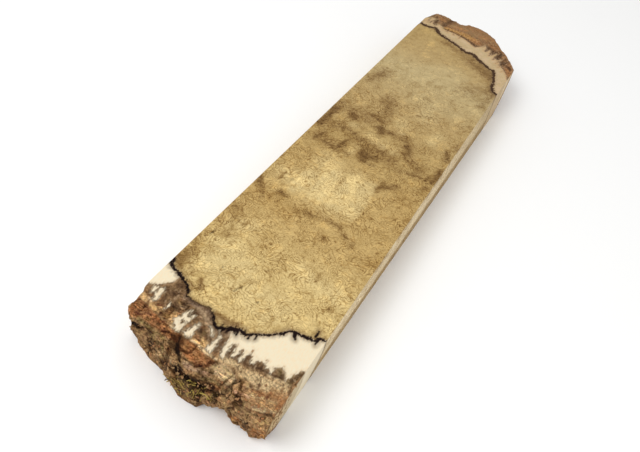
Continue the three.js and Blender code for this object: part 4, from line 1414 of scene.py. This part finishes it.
@dataclass(frozen=True)
class WoodFinish:
    """Sawn burl, black line, cream sapwood and torn bark, drawn over the ground colour of the mesh."""

    heartwood: HeartFinish = HeartFinish()
    bark: BarkFinish = BarkFinish()
    wood_roughness: float = 0.55
    bark_roughness: float = 0.88
    specular: float = 0.08
    relief: float = 0.0011  # metres
    far: tuple[float, float] = (40, 110)  # where along the block the far end's own tones begin
    stain_light: Tint = Tint(0.52, 0.66, 0.7, Tone.PINK_GREY)
    stain_dark: Tint = Tint(0.5, 0.38, 0.7, Tone.STAIN_DARK)
    speck_light: Tint = Tint(0.52, 0.64, 0.7, (1.5, 1.5, 1.5))
    speck_dark: Tint = Tint(0.48, 0.36, 0.7, (0.4, 0.34, 0.3))
    cream_shade: Tint = Tint(0.5, 0.66, 0.35, (0.78, 0.72, 0.62))
    cream_fibre: Tint = Tint(0.6, 0.3, 0.3, Tone.OCHRE)
    cream_pink: Tint = Tint(0.42, 0.62, 0.35, Tone.PINK_CREAM)
    cream_halo: Tint = Tint(-1.4, 0.2, 0.4, Tone.PINK_GREY)
    cream_edge: tuple[float, float] = (-0.5, 0.4)
    line_edge: tuple[float, float] = (-0.25, 0.25)

    def stained(self, graph: Graph, place: Signal, ground: Signal) -> Signal:
        """Draws the blotches and specks of the stained sapwood."""
        blotches = graph.grain(graph.vector("MULTIPLY", place, (1.5, 0.8, 1.0)), 1.7, 5, rough=0.7)
        speck = graph.grain(place, 0.8, 2, rough=0.6)
        torn = 1 - graph.mark("sawn")
        colour = self.stain_light.over(ground, blotches, torn)
        colour = self.stain_dark.over(colour, blotches, torn)
        colour = self.speck_light.over(colour, speck, torn)
        return self.speck_dark.over(colour, speck, torn)

    def cream(self, graph: Graph, place: Signal, fibres: Signal, whiteness: Signal) -> Signal:
        """Draws the cream sapwood, whiter at the near end and pinker at the far one.

        Args:
            graph: The material's graph.
            place: The place on the piece, in mm.
            fibres: The noise drawn out along the wood's fibres.
            whiteness: The depth inside the cream, in mm.

        Returns:
            Its colour.
        """
        along = graph.along(place)
        far = along.step(*self.far)
        white = graph.mix(along.step(-80, 60), Tone.WHITE_CREAM.rgba, Tone.BISCUIT.rgba)
        white = self.cream_shade.over(white, graph.grain(place, 4, 3), far)
        white = self.cream_fibre.over(white, fibres)
        white = self.cream_pink.over(white, graph.grain(place, 5, 3), far)
        rim = whiteness.fade(0.0, 1.8) * (along.step(20, 120) * 0.4 + 0.2)
        return graph.mix(rim, white, Tone.PHLOEM.rgba)

    def inked(self, graph: Graph, place: Signal, colour: Signal, heart: Signal, waver: Signal) -> Signal:
        """Draws the black line with its halo and spurs, and the cracks in painted shade.

        Args:
            graph: The material's graph.
            place: The place on the piece, in mm.
            colour: The colour so far.
            heart: The distance to the line.
            waver: The noise that roughens every edge.

        Returns:
            The new colour.
        """
        far = graph.along(place).step(*self.far)
        width = graph.mark("line") * (graph.grain(place, 1.6, 3, rough=0.65) * 3.2 - 0.6)
        edge = (width - abs(heart)).math("MAXIMUM", graph.mark("spur") + waver * 0.8 + 0.1)
        ink = graph.mix(far, Tone.BLACK_LINE.rgba, Tone.BROWN_LINE.rgba)
        colour = graph.mix(edge.step(-2.2, 0.3) * (0.6 - far * 0.3), colour, Tone.GREY_LINE.rgba)
        colour = graph.mix(edge.step(*self.line_edge), colour, ink)
        # Painted shade in the cracks, broken up by noise
        broken = graph.grain(place, 2.4, 3).step(0.38, 0.56) * 0.65 + 0.3
        crack = (graph.mark("crack") + waver * 1.4).step(*self.line_edge) * broken
        return graph.mix(crack * 0.92, colour, Tone.HOLLOW_SHADE.rgba)

    def build(self) -> bpy.types.Material:
        """Makes the material of the whole block.

        Returns:
            The material.
        """
        material, graph = new_material("sawn burl and bark")
        place = graph.place()
        ground = graph.mark("ground", "Color")
        waver = graph.grain(place, 0.9, 3) - 0.5
        fibres = graph.grain(graph.vector("MULTIPLY", place, (2.4, 0.55, 1.0)), 1.0, 3, rough=0.6)
        heart = graph.mark("heart") + waver * 1.5 + (fibres - 0.5) * 2.6
        whiteness = graph.mark("cream") + (fibres - 0.5) * 3.2 + waver * 1.2
        in_bark = heart.fade(-0.9, 0.3)
        rough_bark = graph.mark("bark").step(-1.0, 2.5) * in_bark
        wood, wood_height = self.heartwood.draw(graph, place, ground)
        bark, bark_height = self.bark.draw(graph, place, ground)
        outside = graph.mix(graph.mark("bark").step(7.5, 9.5), self.stained(graph, place, ground), bark)
        colour = self.cream_halo.over(graph.mix(in_bark, wood, outside), whiteness)
        creamy = whiteness.step(*self.cream_edge)
        colour = graph.mix(creamy * 0.97, colour, self.cream(graph, place, fibres, whiteness))
        colour = self.inked(graph, place, colour, heart, waver)
        bark_relief = rough_bark * (1 - creamy * 0.85) * (1 - graph.along(place).step(60, 140) * 0.6)
        height = wood_height * (1 - in_bark) * 0.12 + bark_height * bark_relief
        rough = rough_bark * (self.bark_roughness - self.wood_roughness) + self.wood_roughness
        graph.surface(colour, rough, Specular=self.specular, Normal=graph.bump(height, self.relief))
        return material


@dataclass(frozen=True)
class StrandFinish:
    """Dry moss, from brown roots to yellow-green tips."""

    roughness: float = 0.8
    specular: float = 0.2
    green: Tint = Tint(0.0, 0.45, 1.0, Tone.MOSS)
    tip: Tint = Tint(0.5, 1.0, 1.0, Tone.MOSS_TIP)

    def build(self) -> bpy.types.Material:
        """Makes the moss material."""
        material, graph = new_material("dry moss")
        tone = graph.mark("tone")
        colour = self.tip.over(self.green.over(Tone.MOSS_ROOT_AND_SHADE.rgba, tone), tone)
        graph.surface(colour, self.roughness, Specular=self.specular)
        return material


@dataclass(frozen=True)
class FlakeFinish:
    """Loose bark scales: brown, grey and rusty, each its own shade."""

    roughness: float = 0.9
    specular: float = 0.2
    relief: float = 0.0003  # metres
    grey: Tint = Tint(0.1, 0.5, 1.0, Tone.OUTER_BARK)
    rusty: Tint = Tint(0.72, 0.95, 1.0, Tone.RED_BROWN)
    # painted shade in the low parts of the crumbs, which the bump also reads
    crumb: Tint = Tint(0.6, 0.3, 0.6, (0.35, 0.28, 0.22))

    def build(self) -> bpy.types.Material:
        """Makes the material of the bark scales."""
        material, graph = new_material("bark scales")
        crumbs = graph.grain(graph.place(), 0.7, 4, rough=0.65)
        tone = graph.mark("tone")
        colour = self.rusty.over(self.grey.over(Tone.BARK_BROWN.rgba, tone), tone)
        bump = graph.bump(crumbs, self.relief, 0.6)
        graph.surface(self.crumb.over(colour, crumbs), self.roughness, Specular=self.specular, Normal=bump)
        return material


@dataclass
class Growth:
    """Small pieces that grow from a patch of the block, placed by a geometry node tree."""

    name: str
    density: float  # pieces on a square millimetre
    size: tuple[float, float]
    seed: int
    tilt: float  # how far they turn off the surface's own direction, in degrees
    salt: int  # sets the turn's random numbers apart from the other ones

    def element(self, graph: Graph) -> Signal:
        """Makes the one small shape that is repeated, along +Z and one unit long."""
        raise NotImplementedError

    def random(self, graph: Graph, seed: Signal, salt: int, low: Any, high: Any) -> Signal:
        """Draws one random value for each point.

        Args:
            graph: The tree's graph.
            seed: The tree's seed.
            salt: Sets this draw apart from the tree's other ones.
            low, high: The range, as numbers, sockets or vectors.

        Returns:
            The values.
        """
        flat = not isinstance(low, tuple)
        kind, ending = ("FLOAT", "_001") if flat else ("FLOAT_VECTOR", "")
        return graph.node("FunctionNodeRandomValue", {"data_type": kind}, {
            f"Min{ending}": low, f"Max{ending}": high, "Seed": seed * 10 + salt,
        }, f"Value{ending}")

    def tree(self, material: bpy.types.Material) -> bpy.types.NodeTree:
        """Builds the node tree that scatters the shape over the patch.

        Args:
            material: The finish of the copies.

        Returns:
            The tree, with its sizes as named inputs.
        """
        tree = bpy.data.node_groups.new(self.name, "GeometryNodeTree")
        graph = Graph(tree)
        kinds = {"Patch": "Geometry", "Density": "Float", "Shortest": "Float", "Longest": "Float",
                 "Seed": "Int"}
        for name, kind in kinds.items():
            tree.interface.new_socket(name, in_out="INPUT", socket_type=f"NodeSocket{kind}")
        tree.interface.new_socket("Copies", in_out="OUTPUT", socket_type="NodeSocketGeometry")
        given = graph.node("NodeGroupInput")
        share = graph.node("GeometryNodeInputNamedAttribute", {"data_type": "FLOAT"}, {
            "Name": "share",
        }, "Attribute")
        scatter = graph.node("GeometryNodeDistributePointsOnFaces", {}, {
            "Mesh": given["Patch"], "Density": given["Density"] * share, "Seed": given["Seed"],
        }, "Points")
        length = self.random(graph, given["Seed"], 1, given["Shortest"], given["Longest"])
        tone = self.random(graph, given["Seed"], 2, 0.0, 1.0)
        toned = graph.node("GeometryNodeStoreNamedAttribute", {"data_type": "FLOAT", "domain": "POINT"},
                           {"Geometry": scatter, "Name": "tone", "Value": tone})
        most = math.radians(self.tilt)
        angles = self.random(graph, given["Seed"], self.salt, (-most, -most, 0), (most, most, math.tau))
        loose = graph.node("FunctionNodeEulerToRotation", {}, {"Euler": angles})
        turn = graph.node("FunctionNodeRotateRotation", {"rotation_space": "LOCAL"},
                          {"Rotation": scatter["Rotation"], "Rotate By": loose})
        copies = graph.node("GeometryNodeInstanceOnPoints", {}, {
            "Points": toned, "Instance": self.element(graph), "Rotation": turn, "Scale": length,
        })
        solid = graph.node("GeometryNodeRealizeInstances", {}, {"Geometry": copies})
        dressed = graph.node("GeometryNodeSetMaterial", {}, {"Geometry": solid, "Material": material})
        graph.node("NodeGroupOutput", {}, {"Copies": dressed})
        return tree

    def build(self, block: bpy.types.Object, share: Array, material: bpy.types.Material) -> bpy.types.Object:
        """Grows the pieces on the block and turns them into one plain mesh.

        Args:
            block: The finished block.
            share: How thickly they grow at each point of the block, from 0 to 1.
            material: Their finish.

        Returns:
            The new object.
        """
        patch = block.data.copy()
        patch.attributes.new("share", "FLOAT", "POINT").data.foreach_set("value", share)
        holder = added(self.name, patch)
        modifier = holder.modifiers.new(self.name, "NODES")
        modifier.node_group = self.tree(material)
        values = {
            "Density": self.density / MM ** 2, "Shortest": self.size[0] * MM, "Longest": self.size[1] * MM,
            "Seed": self.seed,
        }
        for item in modifier.node_group.interface.items_tree:
            if item.name in values:
                modifier[item.identifier] = values[item.name]
        graph = bpy.context.evaluated_depsgraph_get()
        mesh = bpy.data.meshes.new_from_object(holder.evaluated_get(graph), depsgraph=graph)
        bpy.data.objects.remove(holder)
        points = np.empty(len(mesh.vertices) * 3)
        mesh.vertices.foreach_get("co", points)
        mesh.vertices.foreach_set("co", held_in_box(points.reshape(-1, 3)).ravel())
        mesh.update()
        return added(self.name, mesh)


@dataclass
class MossStrands(Growth):
    """Dry moss in the hollow bark of the near end: bent three-sided strands."""

    name: str = "moss_strands"
    density: float = 2.8
    size: tuple[float, float] = (1.2, 3.8)
    seed: int = 7
    tilt: float = 65
    salt: int = 3
    slimness: float = 0.062

    def element(self, graph: Graph) -> Signal:
        """Makes a bent strand."""
        bow = graph.node("GeometryNodeCurveQuadraticBezier", {}, {
            "Resolution": 4, "Start": (0, 0, -0.1), "Middle": (0.1, 0, 0.55), "End": (0.55, 0, 0.8),
        })
        ring = graph.node("GeometryNodeCurvePrimitiveCircle", {}, {"Resolution": 3, "Radius": self.slimness})
        return graph.node("GeometryNodeCurveToMesh", {}, {
            "Curve": bow, "Profile Curve": ring, "Fill Caps": True,
        })


@dataclass
class BarkScales(Growth):
    """Small bark scales that lie on the rough outer bark, half sunk in it."""

    name: str = "bark_scales"
    density: float = 0.3
    size: tuple[float, float] = (0.5, 1.5)
    seed: int = 11
    tilt: float = 16
    salt: int = 4
    chip: tuple[float, float, float] = (1.3, 0.75, 0.28)

    def element(self, graph: Graph) -> Signal:
        """Makes a flat chip."""
        ball = graph.node("GeometryNodeMeshIcoSphere", {}, {"Radius": 0.5, "Subdivisions": 1})
        return graph.node("GeometryNodeTransform", {}, {"Geometry": ball, "Scale": self.chip})


@dataclass
class Studio:
    """The pale floor, the soft light and the camera."""

    floor_size: float = 4.0
    floor_roughness: float = 0.9
    eye: tuple[float, float, float] = (64.65, -249.80, 210.7)  # mm, in the part's own frame
    turn: tuple[float, float, float] = (43.577, -9.872, 29.532)  # degrees about X, Y and Z
    lens: float = 33.75
    sensor: float = 36.0
    world: float = 0.78
    key_at: tuple[float, float, float] = (-0.35, -0.55, 0.8)
    key_size: float = 0.5
    key_power: float = 4.35

    def floor(self) -> bpy.types.Object:
        """Makes the floor under the block."""
        half = self.floor_size / 2
        mesh = bpy.data.meshes.new("pale_floor")
        corners = [(-half, -half, 0), (half, -half, 0), (half, half, 0), (-half, half, 0)]
        mesh.from_pydata(corners, [], [(0, 1, 2, 3)])
        material, graph = new_material("pale floor")
        graph.surface(Tone.FLOOR.rgba, self.floor_roughness)
        mesh.materials.append(material)
        return added("pale_floor", mesh)

    def light(self) -> None:
        """Hangs the soft square light, which points at the block."""
        data = bpy.data.lights.new("key", "AREA")
        data.size, data.energy = self.key_size, self.key_power
        lamp = added("key", data)
        lamp.location = self.key_at
        lamp.rotation_euler = Vector(self.key_at).to_track_quat("Z", "Y").to_euler()

    def camera(self) -> bpy.types.Object:
        """Puts the camera where the photo was taken from."""
        data = bpy.data.cameras.new("camera")
        data.lens, data.sensor_width, data.sensor_fit = self.lens, self.sensor, "HORIZONTAL"
        data.clip_start = 0.01
        camera = added("camera", data)
        camera.location = [c * MM for c in self.eye]
        camera.rotation_euler = Euler([math.radians(a) for a in self.turn], "XYZ")
        return camera

    def build(self) -> None:
        """Sets up the floor, the light, the world and the camera."""
        scene = bpy.context.scene
        self.floor()
        self.light()
        scene.world = bpy.data.worlds.new("pale room")
        scene.world.use_nodes = True
        sky = scene.world.node_tree.nodes["Background"].inputs
        sky["Strength"].default_value = self.world
        sky["Color"].default_value = (1, 1, 1, 1)
        scene.camera = self.camera()
        scene.view_settings.view_transform = "Standard"
        scene.view_settings.look = "None"


def hand_over(piece: bpy.types.Object) -> None:
    """Ties a finished piece to the block's body."""
    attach(piece, BODY)
    log.info("%s: %d faces", piece.name, len(piece.data.polygons))


def main() -> None:
    """Builds the studio and every piece, in order."""
    logging.basicConfig(level=logging.INFO, format="%(name)s: %(message)s")
    Studio().build()
    wood = BurlBlock()
    block = wood.build()
    block.data.materials.append(WoodFinish().build())
    outer = smooth((-wood.marks["heart"] - SCALES_FROM) / SCALES_FADE) * (1 - smooth(wood.marks["cream"] + 1))
    above = wood.spots["depth"] < LOWEST_GROWTH
    moss = MossStrands().build(block, wood.marks["moss"] * above, StrandFinish().build())
    scales = BarkScales().build(block, outer * above * (1 - wood.marks["moss"]), FlakeFinish().build())
    hand_over(block)
    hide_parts(BLOCK_NODE)
    hand_over(moss)
    hand_over(scales)


if __name__ == "__main__":
    main()
